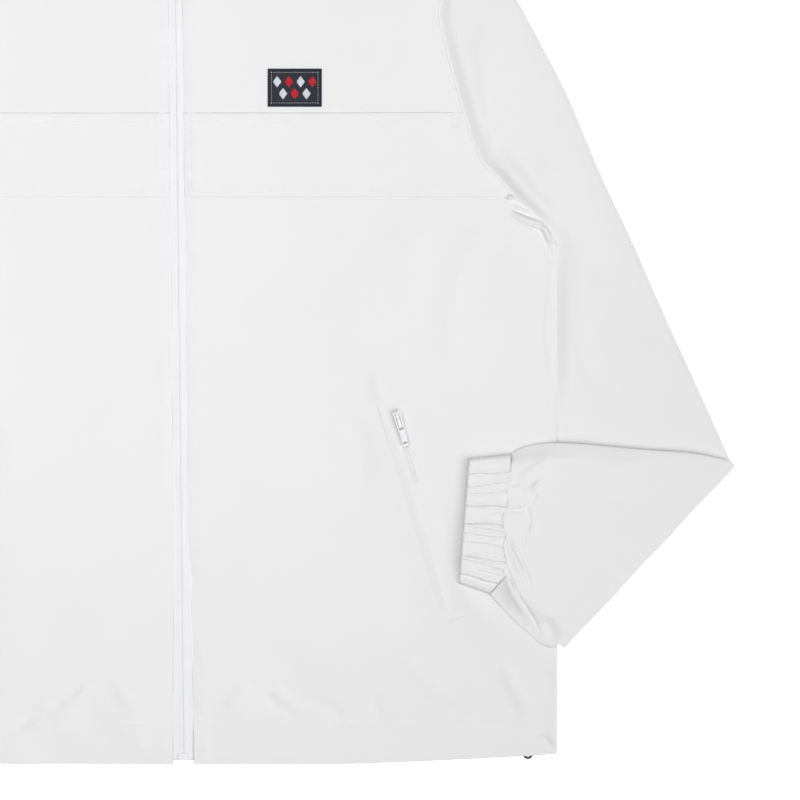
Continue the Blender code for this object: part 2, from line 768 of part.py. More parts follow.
def make_pocket(side, word):
    strip = POCKET_STRIP_HALF
    welt_inner = strip + SEAM_GAP
    welt_outer = welt_inner + POCKET_WELT_WIDTH
    rows = []
    for step in range(POCKET_STEPS + 1):
        run = step / POCKET_STEPS
        offsets = (-strip, strip)
        rows.append([pocket_point(side, run, offset, POCKET_CLEAR) for offset in offsets])
    cloth_sheet("pocket_zip_" + word, rows, "tape", POCKET_STRIP_THICK, 1, side == RIGHT)
    # welt: a flat ring round the strip, from its inner edge out to its outer edge
    length = (Vector(POCKET_FOOT) - Vector(POCKET_TOP)).length
    end = POCKET_WELT_END / length
    slack = SEAM_GAP / length
    loops = []
    for inset, before in ((welt_inner, slack), (welt_outer, end)):
        loop = []
        for step in range(POCKET_STEPS + 1):
            run = mix(-before, 1 + before, step / POCKET_STEPS)
            loop.append(pocket_point(side, run, inset, POCKET_CLEAR))
        for step in range(POCKET_STEPS, -1, -1):
            run = mix(-before, 1 + before, step / POCKET_STEPS)
            loop.append(pocket_point(side, run, -inset, POCKET_CLEAR))
        loops.append(loop)
    cloth_sheet("pocket_welt_" + word, loops, "cloth", POCKET_WELT_THICK, 1, side == LEFT, True)
    along = (Vector(POCKET_FOOT) - Vector(POCKET_TOP)).normalized()
    place = Vector(POCKET_TOP) + along * SLIDER_BELOW_POCKET_TOP
    reach = SLIDER_SIZE[1] / 2
    highest = max(lower_front_top(side, place.x, place.y + step * reach) for step in (-1, 0, 1))
    surface = highest + POCKET_CLEAR + max(POCKET_STRIP_THICK, POCKET_WELT_THICK)
    angle = side * math.atan2(along.x, -along.y)
    base = world_point(side * place.x, place.y, surface + SEAM_GAP)
    make_slider_and_pull("pocket_slider_" + word, "pocket_pull_" + word, base, angle)


def make_patch():
    surface = front_top(*PATCH_CENTRE) + SEAM_GAP
    place = world_point(PATCH_CENTRE[0], PATCH_CENTRE[1], surface + PATCH_SIZE[2] / 2)
    patch = add_box("chest_patch", PATCH_SIZE, place, "patch")
    parts.objects.link(patch)
    add_bevel(patch, 0.3 * MM)


# Loop of the hem's draw cord, its ends against the back hem
def make_hem_cord(side, word):
    start_up = hem_up(CORD_LOOP_X) + BACK_HEM_SHORTER - SEAM_GAP - CORD_RADIUS
    foot_up = CORD_LOOP_FOOT_UP + CORD_RADIUS
    steps = 8
    curve = bpy.data.curves.new("hem_cord_" + word, "CURVE")
    curve.dimensions = "3D"
    curve.bevel_depth = CORD_RADIUS
    curve.bevel_resolution = 2
    curve.use_fill_caps = True
    spline = curve.splines.new("POLY")
    spline.points.add(steps)
    for step, point in enumerate(spline.points):
        turn = math.pi * step / steps
        x = CORD_LOOP_X - CORD_LOOP_HALF * math.cos(turn)
        up = mix(start_up, foot_up, math.sin(turn))
        point.co = (*world_point(side * x, up, CORD_RADIUS + 0.2 * MM), 1)
    curve.materials.append(make_material("cord"))
    parts.objects.link(bpy.data.objects.new("hem_cord_" + word, curve))


for leftover in list(bpy.data.objects):
    bpy.data.objects.remove(leftover, do_unlink=True)
parts = bpy.data.collections.new("windbreaker")
cutters = bpy.data.collections.new("windbreaker cutters")
bpy.context.scene.collection.children.link(parts)
bpy.context.scene.collection.children.link(cutters)

make_back()
for body_side, side_word in ((LEFT, "left"), (RIGHT, "right")):
    make_fronts(body_side, side_word)
    make_sleeve(body_side, side_word)
    make_cuff(body_side, side_word)
    make_pocket(body_side, side_word)
    make_hem_cord(body_side, side_word)
make_collar()
chain_top = make_front_zip()
slider_up = COLLAR_FRONT_TOP_UP - SLIDER_BELOW_COLLAR_TOP
slider_base = world_point(zip_line(slider_up), slider_up, chain_top + SEAM_GAP)
make_slider_and_pull("zip_slider", "zip_pull", slider_base, 0.0)
make_patch()
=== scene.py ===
# Windbreaker laid flat face up, zipped closed, forearms folded over the body
# x runs to the wearer's left and "up" from the hem to the collar; tables and heights are in millimetres

import json
import math

import bmesh
import bpy
import numpy as np
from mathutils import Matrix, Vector


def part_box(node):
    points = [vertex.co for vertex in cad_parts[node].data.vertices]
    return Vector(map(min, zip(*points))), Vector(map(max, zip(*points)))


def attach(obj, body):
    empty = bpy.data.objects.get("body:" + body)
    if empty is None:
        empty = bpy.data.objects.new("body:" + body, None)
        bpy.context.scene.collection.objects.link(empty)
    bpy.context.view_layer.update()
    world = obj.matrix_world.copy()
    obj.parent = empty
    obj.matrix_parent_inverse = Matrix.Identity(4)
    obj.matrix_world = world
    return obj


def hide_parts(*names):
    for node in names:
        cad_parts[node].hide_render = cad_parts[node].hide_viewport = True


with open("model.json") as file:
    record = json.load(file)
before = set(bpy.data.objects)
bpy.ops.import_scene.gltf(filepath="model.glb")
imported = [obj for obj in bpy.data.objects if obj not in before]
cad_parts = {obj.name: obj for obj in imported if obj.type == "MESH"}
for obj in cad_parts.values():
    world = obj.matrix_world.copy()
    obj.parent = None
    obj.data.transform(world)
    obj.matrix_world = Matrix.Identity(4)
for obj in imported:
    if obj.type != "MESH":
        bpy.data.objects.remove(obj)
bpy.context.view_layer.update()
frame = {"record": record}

mm = 0.001
sides = (("left", 1), ("right", -1))

body = {
    "hemY": -364,            # world y of the hem at the zip
    "halfWidth": 292,
    "lowerSeamUp": 435,
    "upperSeamUp": 500,
    "shoulderTip": (213, 629),
    "neckPoint": (83, 676),
    "frontNeckUp": 591,
    "backNeckUp": 655,
    "hemRise": 7.5,
    "hemRiseStart": 125,
    "backHemShorter": 2.5,
    "hemDepth": 28.5,        # turned hem, up to its stitching
    "clothWall": 0.35,
    "layerRise": 2.3,        # back cloth, gap and front cloth
    "loft": 1.5,
    "loftReach": 30,
    "liftShelf": 10,
    "liftReach": 80,
    "sleeveLift": 3.6,       # what the sleeve below adds to the body's height
    "edgeRoll": 1.9,
    "sideFall": 1.0,         # how much lower the side edge lies under the sleeve
    "sideReach": 8,
}

# half width of the body, then the line that the upper sleeve runs to under it, both as (up, x)
bodyEdgeRows = [
    (-20, 292), (396, 292), (404, 289), (416, 278.7), (433, 259.5), (450, 246),
    (463.5, 233), (496, 221), (517, 214.8), (558, 204), (579, 201), (629, 213),
]
underEdgeRows = [
    (0, 420), (60, 330), (92, 294), (113, 272), (150, 247), (190, 224), (225, 207), (258, 193),
    (290, 185), (332, 183), (352, 184.5), (372, 189), (392, 200), (415, 213.5), (438, 222),
    (463, 225), (496, 215), (517, 208.5), (558, 198), (579, 195), (624, 207), (680, 272),
]


def smooth(value):
    value = np.clip(value, 0, 1)
    return value * value * (3 - 2 * value)


# rounded rise, steepest at its start
def limb(value):
    return 1 - (1 - np.clip(value, 0, 1)) ** 2


def mix(first, second, share):
    return first + (second - first) * share


def curveAt(rows, value):
    rows = np.asarray(rows, float)
    at, height = rows[:, 0], rows[:, 1]
    last = len(rows) - 1
    before = np.maximum(np.arange(last + 1) - 1, 0)
    after = np.minimum(np.arange(last + 1) + 1, last)
    slope = (height[after] - height[before]) / (at[after] - at[before])
    value = np.clip(value, at[0], at[-1])
    i = np.clip(np.searchsorted(at, value, side="right") - 1, 0, last - 1)
    span = at[i + 1] - at[i]
    t = (value - at[i]) / span
    result = height[i] * (2 * t ** 3 - 3 * t ** 2 + 1) + slope[i] * span * (t ** 3 - 2 * t ** 2 + t)
    return result + height[i + 1] * (3 * t ** 2 - 2 * t ** 3) + slope[i + 1] * span * (t ** 3 - t ** 2)


# smooth rows between rows of numbers, used for lines and for sleeve sections
def splineRows(rows, count, crowd=1.0):
    rows = np.asarray(rows, float)
    last = len(rows) - 1
    place = (1 - (1 - np.linspace(0, 1, count)) ** crowd) * last     # crowd over 1 puts more of them at the end
    i = np.clip(place.astype(int), 0, last - 1)
    t = (place - i)[:, None]
    a, b = rows[np.maximum(i - 1, 0)], rows[i]
    c, d = rows[i + 1], rows[np.minimum(i + 2, last)]
    slopeB = np.where((i == 0)[:, None], c - b, (c - a) / 2)
    slopeC = np.where((i == last - 1)[:, None], c - b, (d - b) / 2)
    return (b * (2 * t ** 3 - 3 * t ** 2 + 1) + slopeB * (t ** 3 - 2 * t ** 2 + t)
            + c * (3 * t ** 2 - 2 * t ** 3) + slopeC * (t ** 3 - t ** 2))


def noiseAt(x, y, size, seed):
    px, py = x / size, y / size
    ix, iy = np.floor(px), np.floor(py)
    fx, fy = px - ix, py - iy
    fx, fy = fx ** 3 * (fx * (fx * 6 - 15) + 10), fy ** 3 * (fy * (fy * 6 - 15) + 10)

    def corner(dx, dy):
        value = np.sin((ix + dx) * 127.1 + (iy + dy) * 311.7 + seed * 74.7) * 43758.5453
        return (value - np.floor(value)) * 2 - 1
    low = mix(corner(0, 0), corner(1, 0), fx)
    high = mix(corner(0, 1), corner(1, 1), fx)
    return mix(low, high, fy)


# a place seen in the photograph, as (x, up)
def seen(*spots):
    return [((px - 178) * 0.77, (762 - py) * 0.77) for px, py in spots]


# distance to a line, share along it and which side of it a point is on
def nearLine(x, up, line):
    lengths = np.hypot(*np.diff(line, axis=0).T)
    total, start = lengths.sum(), 0.0
    best = np.full(x.shape, 1e9)
    along, side = np.zeros(x.shape), np.ones(x.shape)
    for (ax, ay), (bx, by), length in zip(line, line[1:], lengths):
        dx, dy = (bx - ax) / length, (by - ay) / length
        t = np.clip((x - ax) * dx + (up - ay) * dy, 0, length)
        ox, oy = x - ax - dx * t, up - ay - dy * t
        distance = np.hypot(ox, oy)
        closer = distance < best
        best = np.where(closer, distance, best)
        along = np.where(closer, (start + t) / total, along)
        side = np.where(closer, np.sign(dx * oy - dy * ox), side)
        start += length
    return best, along, side


# folds are (kind, half width, height, spots in the photograph); roll is round, pinch sharp, lap has a step
def foldHeight(x, up, folds, shift=0.0, strength=1.0):
    total = np.zeros(x.shape)
    for number, (kind, half, high, line) in enumerate(folds):
        line = np.array(seen(*line), float)
        if shift:                                # the hidden side has its own folds
            line = line + shift * np.array([math.sin(number * 2.3 + 1), math.cos(number * 1.7)])
            high = high * (1 + 0.2 * math.sin(number * 3.1))
        line = splineRows(line, max(len(line) * 4, 6))
        reach = half * 5
        inside = (x > line[:, 0].min() - reach) & (x < line[:, 0].max() + reach)
        inside &= (up > line[:, 1].min() - reach) & (up < line[:, 1].max() + reach)
        if not inside.any():
            continue
        distance, along, side = nearLine(x[inside], up[inside], line)
        taper = smooth(np.minimum(along, 1 - along) / 0.3)
        width = half * (0.55 + 0.45 * taper)
        if kind == "roll":
            shape = np.exp(-(distance / width) ** 2)
        elif kind == "pinch":
            shape = np.exp(-distance / width)
        else:
            signed = distance * side
            shape = (0.5 + 0.5 * np.tanh(signed / (0.25 * half))) * np.exp(-np.maximum(signed, 0) / (2 * half))
            shape = shape * (1 - smooth((distance - 3 * half) / (2 * half)))
        total[inside] += strength * high * taper * shape
    return total


# length run along a row of points
def runLength(points):
    return np.cumsum(np.r_[0, np.linalg.norm(np.diff(points, axis=0), axis=1)])


# stations from start to end, closer together within the fine zones (from, to, step)
def stations(start, end, step, fine=()):
    places = [start]
    while places[-1] < end - 1e-6:
        here = places[-1]
        size = step
        for low, high, small in fine:
            if low <= here < high:
                size = min(size, small)
            elif here < low:
                size = min(size, max(small, low - here))
        places.append(min(here + size, end))
    if len(places) > 2 and places[-1] - places[-2] < 0.3 * step:
        places.pop(-2)
    return np.array(places)


def bodyEdge(up):
    return curveAt(bodyEdgeRows, up)


def hemUp(x):
    run = np.maximum(0.0, np.abs(x) - body["hemRiseStart"]) / (body["halfWidth"] - body["hemRiseStart"])
    return body["hemRise"] * run ** 1.3


def bodyLift(x, up):
    distance = curveAt(underEdgeRows, up) - np.abs(x) - body["liftShelf"]
    return body["sleeveLift"] * smooth(1 - distance / body["liftReach"])


def edgeRoom(x, up):
    tip, neck = body["shoulderTip"], body["neckPoint"]
    slope = (tip[1] - neck[1]) / (tip[0] - neck[0])
    shoulder = neck[1] + slope * (np.abs(x) - neck[0]) - up
    openNeck = np.maximum(0.0, 45 - np.hypot(np.abs(x) - neck[0], up - neck[1]))
    return np.minimum(bodyEdge(up) - np.abs(x), shoulder + openNeck)


# armpit: two laid-over folds, their grooves and the tongue at the side seam
armpitFolds = [
    ("roll", 1.6, 2.2, ((505, 201), (511, 197), (517, 197.5), (522, 203))),
    ("pinch", 1.2, -3.0, ((508, 200.5), (513, 202), (523, 206.5), (533, 212.5), (544, 219.5))),
    ("roll", 1.5, 1.3, ((511, 205), (518, 207), (527, 211), (535, 216))),
    ("pinch", 1.1, -2.6, ((510, 207.5), (516, 210), (523, 213.5), (534, 218), (545, 221.5))),
    ("roll", 3.6, 2.0, ((508, 212), (522, 218), (536, 223), (548, 224), (555, 229))),
    ("pinch", 0.9, -2.2, ((530, 226.5), (539, 231), (544, 239), (550, 250))),
    ("pinch", 0.7, -1.1, ((533, 225), (538, 226), (543, 228))),
    ("roll", 3.0, 1.4, ((540, 226), (546, 231), (549, 241), (549, 249))),
    ("pinch", 0.7, -1.9, ((554.5, 228), (553, 236), (550, 246))),
    ("pinch", 1.3, -1.6, ((548.5, 246), (550, 252), (551, 264))),
    ("pinch", 1.4, -0.7, ((454, 129), (457, 119), (458, 112))),
]
frontFolds = [
    # soft strains that run from the armpit and the side
    ("roll", 9, 0.7, ((500, 214), (470, 246), (452, 300), (448, 350))),
    ("roll", 8, -0.5, ((516, 228), (492, 268), (484, 330))),
    ("roll", 10, 0.6, ((430, 300), (452, 330), (440, 370))),
    ("lap", 3.5, 0.45, ((551, 262), (546, 300), (545, 340), (551, 385), (556, 420))),
    ("roll", 12, 0.5, ((404, 200), (409, 260), (418, 330))),
    # beside the pocket and the cuff
    ("roll", 4.5, 0.8, ((376, 368), (379, 390), (384, 408))),
    ("roll", 3, -0.5, ((383, 372), (386, 392))),
    ("roll", 10, -0.7, ((424, 440), (440, 500), (452, 560))),
    ("roll", 7, 0.7, ((452, 555), (462, 585), (480, 610), (500, 632))),
    ("roll", 8, -0.6, ((350, 410), (362, 450), (366, 500))),
    # puckers above and on the hem
    ("roll", 4, 0.8, ((224, 708), (236, 698), (250, 684))),
    ("roll", 4, -0.8, ((262, 688), (272, 700), (288, 712), (306, 716))),
    ("roll", 3.5, 0.7, ((268, 684), (284, 698), (300, 706))),
    ("roll", 4, -0.7, ((300, 712), (322, 704), (338, 714), (348, 726))),
    ("roll", 3, 0.5, ((205, 742), (210, 752))),
    ("roll", 4, -0.6, ((372, 690), (376, 708), (384, 724))),
    ("roll", 6, 0.6, ((400, 650), (430, 684), (452, 700))),
    ("roll", 5, -0.7, ((546, 668), (550, 684), (556, 700))),
    ("roll", 5, 0.8, ((500, 660), (516, 690), (530, 716))),
    ("roll", 3, -0.8, ((538, 733), (546, 742), (556, 751))),
    ("roll", 3, 0.7, ((548, 730), (553, 738), (558, 743))),
    ("roll", 5, -0.5, ((440, 700), (462, 716), (500, 722))),
]

hemPuckers = {"size": 17, "tall": 52, "high": 0.8, "seed": 4}
bodyWaves = {"size": 74, "high": 0.8, "lowSize": 31, "lowHigh": 0.7}


# top of the body's cloth before seams and edges
def bodyTop(x, up, side):
    high = bodyLift(x, up) + body["layerRise"] + body["loft"] * smooth(edgeRoom(x, up) / body["loftReach"])
    calm = smooth(edgeRoom(x, up) / 14)
    deepest = bodyLift(x, up) + 1.3
    shift = 0 if side > 0 else 7
    high = high + foldHeight(x, up, armpitFolds, shift / 3, 1.8) + foldHeight(x, up, frontFolds, shift, 1.9)
    high = high + bodyWaves["high"] * calm * noiseAt(x, up * 0.6, bodyWaves["size"], 3 + side)
    atSide = (1 - smooth((bodyEdge(up) - np.abs(x)) / body["sideReach"])) * (1 - smooth((up - 370) / 40))
    high = high - body["sideFall"] * atSide * smooth((up - 60) / 60)
    low = 1 - smooth((up - 40) / 160)
    high = high + bodyWaves["lowHigh"] * low * calm * noiseAt(x, up, bodyWaves["lowSize"], 8 + side)
    atHem = np.exp(-((up - hemUp(x) - body["hemDepth"]) / 15) ** 2)
    pucker = noiseAt(x, up * hemPuckers["size"] / hemPuckers["tall"], hemPuckers["size"], hemPuckers["seed"] + side)
    return np.maximum(high + hemPuckers["high"] * atHem * pucker, deepest)


def newMaterial(name, colour, roughness, **extra):
    material = bpy.data.materials.new(name)
    material.use_nodes = True
    shader = material.node_tree.nodes["Principled BSDF"]
    shader.inputs["Base Color"].default_value = (*colour, 1)
    shader.inputs["Roughness"].default_value = roughness
    for socket, value in extra.items():
        shader.inputs[socket.replace("_", " ")].default_value = value
    return material, material.node_tree, shader


def link(tree, fromNode, fromSocket, toNode, toSocket):
    tree.links.new(fromNode.outputs[fromSocket], toNode.inputs[toSocket])


# node with its settings; an underscore in an input's name stands for a space
def addNode(tree, kind, **values):
    node = tree.nodes.new(kind)
    for name, value in values.items():
        entry = name.replace("_", " ")
        if entry in node.inputs:
            node.inputs[entry].default_value = value
        else:
            setattr(node, name, value)
    return node


def addBump(tree, source, socket, strength, distance):
    bump = addNode(tree, "ShaderNodeBump", Strength=strength, Distance=distance)
    link(tree, source, socket, bump, "Height")
    return bump


# woven cloth on the piece's own map: yarns both ways, slight mottling and creasing
# yarn, yarnBump and crinkle are in metres, and mottle is the share by which its patches are darker
def clothMaterial(name, colour, roughness, yarn, yarnBump, mottle, crinkle, **extra):
    material, tree, shader = newMaterial(name, colour, roughness, **extra)
    place = addNode(tree, "ShaderNodeUVMap", uv_map="clothMap")
    waves = []
    for direction in ("X", "Y"):
        wave = addNode(tree, "ShaderNodeTexWave", bands_direction=direction, wave_profile="SIN",
                       Scale=0.314 / yarn, Distortion=0.6, Detail=1.0, Detail_Scale=0.6)
        link(tree, place, "UV", wave, "Vector")
        waves.append(wave)
    weave = addNode(tree, "ShaderNodeMath", operation="MAXIMUM")
    tree.links.new(waves[0].outputs["Fac"], weave.inputs[0])
    tree.links.new(waves[1].outputs["Fac"], weave.inputs[1])
    creasing = addNode(tree, "ShaderNodeTexNoise", Scale=95, Detail=5, Roughness=0.55)
    link(tree, place, "UV", creasing, "Vector")
    bumpYarn = addBump(tree, weave, "Value", 0.5, yarnBump)
    bumpCrease = addBump(tree, creasing, "Fac", 0.6, crinkle)
    link(tree, bumpYarn, "Normal", bumpCrease, "Normal")
    link(tree, bumpCrease, "Normal", shader, "Normal")
    patches = addNode(tree, "ShaderNodeTexNoise", Scale=14, Detail=3)
    link(tree, place, "UV", patches, "Vector")
    tint = addNode(tree, "ShaderNodeValToRGB")
    for stop, position, share in zip(tint.color_ramp.elements, (0.3, 0.7), (1 - mottle, 1)):
        stop.position = position
        stop.color = (*(channel * share for channel in colour), 1)
    link(tree, patches, "Fac", tint, "Fac")
    link(tree, tint, "Color", shader, "Base Color")
    return material


shellCloth = clothMaterial("shellCloth", (0.79, 0.788, 0.792), 0.6, 0.0005, 0.00003, 0.012, 0.00022,
                           Sheen_Weight=0.12, Sheen_Roughness=0.4, Specular_IOR_Level=0.32)
tapeCloth = clothMaterial("zipTapeCloth", (0.82, 0.82, 0.838), 0.72, 0.0008, 0.00008, 0.012, 0.0001,
                          Specular_IOR_Level=0.3)
threadMaterial = clothMaterial("sewingThread", (0.83, 0.83, 0.83), 0.55, 0.0004, 0.00005, 0.01, 0.00003,
                               Specular_IOR_Level=0.4)


def worldPoints(x, up, z, side):
    return np.stack([side * x * mm, (body["hemY"] + up) * mm, z * mm], axis=-1)


def addObject(name, data):
    item = bpy.data.objects.new(name, data)
    bpy.context.scene.collection.objects.link(item)
    return item


# map in metres from one place for each point
def setMap(mesh, places):
    layer = mesh.uv_layers.new(name="clothMap")
    corners = np.empty(len(mesh.loops), dtype=np.int32)
    mesh.loops.foreach_get("vertex_index", corners)
    layer.data.foreach_set("uv", places[corners].astype(np.float32).ravel())


# mesh from a grid of points; clothMap holds the cloth's own place of each point in metres
def gridObject(name, points, clothMap, flip=False, closed=False):
    rows, columns = points.shape[:2]
    mesh = bpy.data.meshes.new(name)
    index = np.arange(rows * columns).reshape(rows, columns)
    right = np.roll(index, -1, axis=1) if closed else index[:, 1:]
    here = index if closed else index[:, :-1]
    quads = np.stack([here[:-1], right[:-1], right[1:], here[1:]], axis=-1).reshape(-1, 4)
    if flip:
        quads = quads[:, ::-1]
    mesh.from_pydata(points.reshape(-1, 3).tolist(), [], quads.tolist())
    setMap(mesh, clothMap.reshape(-1, 2))
    mesh.shade_smooth()
    return addObject(name, mesh)


def giveWall(piece, thickness):
    wall = piece.modifiers.new("clothWall", "SOLIDIFY")
    wall.thickness = thickness * mm
    wall.offset = -1                             # the wall lies under the surface
    wall.use_even_offset = False
    return piece


# modifiers made part of the mesh, so that the piece is plain
def makePlain(piece):
    graph = bpy.context.evaluated_depsgraph_get()
    mesh = bpy.data.meshes.new_from_object(piece.evaluated_get(graph))
    if piece.type == "MESH":
        old = piece.data
        piece.modifiers.clear()
        piece.data = mesh
        if old.users == 0:
            bpy.data.meshes.remove(old)
        return piece
    name = piece.name
    bpy.data.objects.remove(piece)
    return addObject(name, mesh)


# material and body of a piece, and the nodes that it stands for; the slot name is not used
def assign(piece, material, bodyName, slotName, *nodes):
    piece.data.materials.clear()
    piece.data.materials.append(material)
    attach(piece, bodyName)
    if nodes:
        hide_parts(*nodes)


# one panel of cloth from its grid, with its wall and its cut; x and up are its map unless it has its own
def makePanel(name, grid, side, cut, node, flip, clothMap=None, closed=False,
              material=shellCloth, slotName="shell_cloth"):
    x, up, z = grid
    if clothMap is None:
        clothMap = np.stack([x, up], axis=-1) * mm
    piece = gridObject(name, worldPoints(x, up, z, side), clothMap, flip, closed)
    areas = np.empty(len(piece.data.polygons))
    piece.data.polygons.foreach_get("area", areas)
    makePlain(giveWall(piece, cut.get("wall", body["clothWall"])))
    assign(piece, material, "garment", slotName, node)
    print(f"{name}: cloth {areas.sum():.4f} m2, cut {cut['area']:.4f} m2")


front = {
    "inner": [(0, 8.2), (60, 7.6), (150, 6.4), (240, 5.6), (700, 5.3)],   # half the zip strip that shows
    "tuck": 3.0,              # how far a panel runs on under its neighbour
    "dip": 0.5,               # how much lower a panel lies at the band's edge
    "bandRise": 0.2,
    "bandPly": 8.0,           # seam allowance under the band's edges
    "edgePly": 0.3,
    "topStitch": 5.4,
    "lowStitch": 5.4, "highStitch": 6.9,      # from the band's two seams to their stitching
    "lowSink": 0.14, "highSink": 0.22,
    "zipDip": 0.4,
    "zipRoll": 0.3,
    "lowest": 0.45,           # no part of a lower front dips under this
}


def zipLine(up):
    return 4.6 - 6.1 / 560 * up


def stripEdge(up, side):
    return side * zipLine(up) + curveAt(front["inner"], up)


# rolled ends of a row: the fold at the zip and the edge at the side, as (x, drop) after the last column
def rolledRow(inner, outer, shares, innerRoll, outerRoll):
    turns = np.radians([90, 68, 46, 24])[None, :]
    inner, outer = inner[:, None], outer[:, None]
    first = inner + innerRoll * (1 - np.sin(turns))
    middle = inner + innerRoll + (outer - outerRoll - inner - innerRoll) * shares[None, :]
    last = outer - outerRoll * (1 - np.sin(turns[:, ::-1]))
    drop = np.concatenate([innerRoll * (1 - np.cos(turns[0])), np.zeros(len(shares)),
                           outerRoll * (1 - np.cos(turns[0, ::-1]))])
    x = np.hstack([first, middle, last])
    return x, np.repeat(drop[None, :], len(x), axis=0)


# dimple under a row of stitches
def stitchDimple(distance, depth=0.18):
    return -depth * np.exp(-(distance / 0.9) ** 2)


# soft puckers along the zip as seen: place up, half length, depth
zipPuckers = [(554, 6, 0.7), (523, 11, 0.8), (486, 11, 0.8), (443, 11, 0.7), (390, 9, 0.7), (333, 5, 0.6),
              (282, 8, 0.4), (225, 13, 0.8), (144, 20, 0.8), (79, 9, 0.8), (44, 12, 1.0), (600, 9, 0.5)]


def zipPucker(up, lean):
    total = np.zeros(np.shape(up))
    for number, (place, half, depth) in enumerate(zipPuckers):
        total = total - depth * np.exp(-((up - place - lean * math.sin(number * 2.1)) / half) ** 2)
    return total


def frontDetail(x, up, side):
    high = bodyTop(x, up, side)
    fromZip = x - stripEdge(up, side)
    high = high + front["edgePly"] * (1 - smooth((fromZip - 9) / 2))
    high = high + stitchDimple(fromZip - front["topStitch"], 0.22)
    high = high + 0.3 * np.exp(-(fromZip / 9) ** 2) * noiseAt(x * 0.5, up, 23, 21 + side)
    high = high + zipPucker(up + 0.5 * fromZip, 0) * np.exp(-(fromZip / (9 if side < 0 else 6)) ** 2)
    return high - front["zipDip"] * np.exp(-(fromZip / 6) ** 2)


lowerFront = {"flat": (0.305, 0.475), "area": 0.137, "held": "laid", "hemPly": 0.45, "hemFold": 0.9}
chestBand = {"flat": (0.285, 0.085), "area": 0.0195, "held": "laid"}
yokePanel = {"flat": (0.245, 0.205), "area": 0.0335, "held": "laid", "shoulderRoll": 1.1}


def makeLowerFront(word, side):
    fine = 1 if side > 0 else 1.9                                # the hidden side needs fewer faces
    ups = stations(0, body["lowerSeamUp"] + front["tuck"], 3.2, [(0, 34, 1.7), (385, 440, 0.75 * fine)])
    shares = stations(0, 284, 3.2, [(205, 244, 1.6 * fine), (244, 284, 0.8 * fine)]) / 284
    x, drop = rolledRow(stripEdge(ups, side), bodyEdge(ups), shares, front["zipRoll"], body["edgeRoll"])
    up = np.repeat(ups[:, None], x.shape[1], axis=1)
    climb = np.clip(up / 60, 0, 1)
    up = up + hemUp(x) * (1 - climb) ** 1.5                      # the hem's rise, gone 60 mm up
    z = frontDetail(x, up, side)
    fromHem = up - hemUp(x)
    z = z + lowerFront["hemPly"] * (1 - smooth((fromHem - body["hemDepth"] + 1) / 2))
    z = z + stitchDimple(fromHem - body["hemDepth"])
    z = z - front["dip"] * smooth((up - body["lowerSeamUp"] - 0.4) / 1.2)
    z = z - drop
    # the hem's folded edge turns under
    turns = np.radians([180, 150, 120, 90, 60, 30])
    fold = lowerFront["hemFold"]
    extraX = np.repeat(x[:1], len(turns), axis=0)
    extraUp = up[:1] - fold * np.sin(turns)[:, None]
    extraZ = z[:1] - fold * (1 - np.cos(turns))[:, None]
    x = np.vstack([x[:1], extraX, x])
    z = np.vstack([extraZ[:1], extraZ, z])
    up = np.vstack([up[:1] + 4, extraUp, up])
    skirt(x, up, z)
    z = np.maximum(z, front["lowest"])
    makePanel("lowerFront" + word.title(), (x, up, z), side, lowerFront, "front_lower_" + word, side < 0)


# last column goes straight down to just above what the body lies on
def skirt(x, up, z):
    z[:, -1] = np.minimum(z[:, -1], bodyLift(x[:, -1], up[:, -1]) + 0.35)


def bandDetail(x, up, side):
    z = frontDetail(x, up, side)
    for seam, stitch, sink in ((body["lowerSeamUp"], front["lowStitch"], front["lowSink"]),
                               (body["upperSeamUp"], front["highStitch"], front["highSink"])):
        distance = np.abs(up - seam)
        z = z + front["bandRise"] * (1 - smooth((distance - front["bandPly"] + 1) / 2))
        z = z + stitchDimple(distance - stitch)
        z = z + 0.22 * np.exp(-((distance - stitch) / 5) ** 2) * noiseAt(x, up * 0.3, 11, seam + side)
        z = z - sink * (1 - smooth(distance / 1.2)) ** 2
    return z


def makeChestBand(word, side):
    low, high = body["lowerSeamUp"], body["upperSeamUp"]
    ups = stations(low, high, 1.6, [(low, low + 9, 0.9), (high - 9, high, 0.9)])
    shares = stations(0, 250, 3.0, [(185, 250, 1.3 if side > 0 else 2.2)]) / 250
    x, drop = rolledRow(stripEdge(ups, side), bodyEdge(ups), shares, front["zipRoll"], body["edgeRoll"])
    up = np.repeat(ups[:, None], x.shape[1], axis=1)
    z = bandDetail(x, up, side) - drop
    skirt(x, up, z)
    makePanel("chestBand" + word.title(), (x, up, z), side, chestBand, "chest_band_" + word, side < 0)


# top edge of a yoke: neckline as a quarter ellipse, then the shoulder seam
def topEdge(startX, startUp, neckCount, shoulderCount):
    neck, tip = body["neckPoint"], body["shoulderTip"]
    turn = np.linspace(0, math.pi / 2, neckCount)
    run = np.linspace(0, 1, shoulderCount + 1)[1:]
    x = np.concatenate([startX + (neck[0] - startX) * np.sin(turn), mix(neck[0], tip[0], run)])
    up = np.concatenate([neck[1] - (neck[1] - startUp) * np.cos(turn), mix(neck[1], tip[1], run)])
    return x, up, np.concatenate([np.zeros(neckCount), np.minimum(run * 8, 1)])


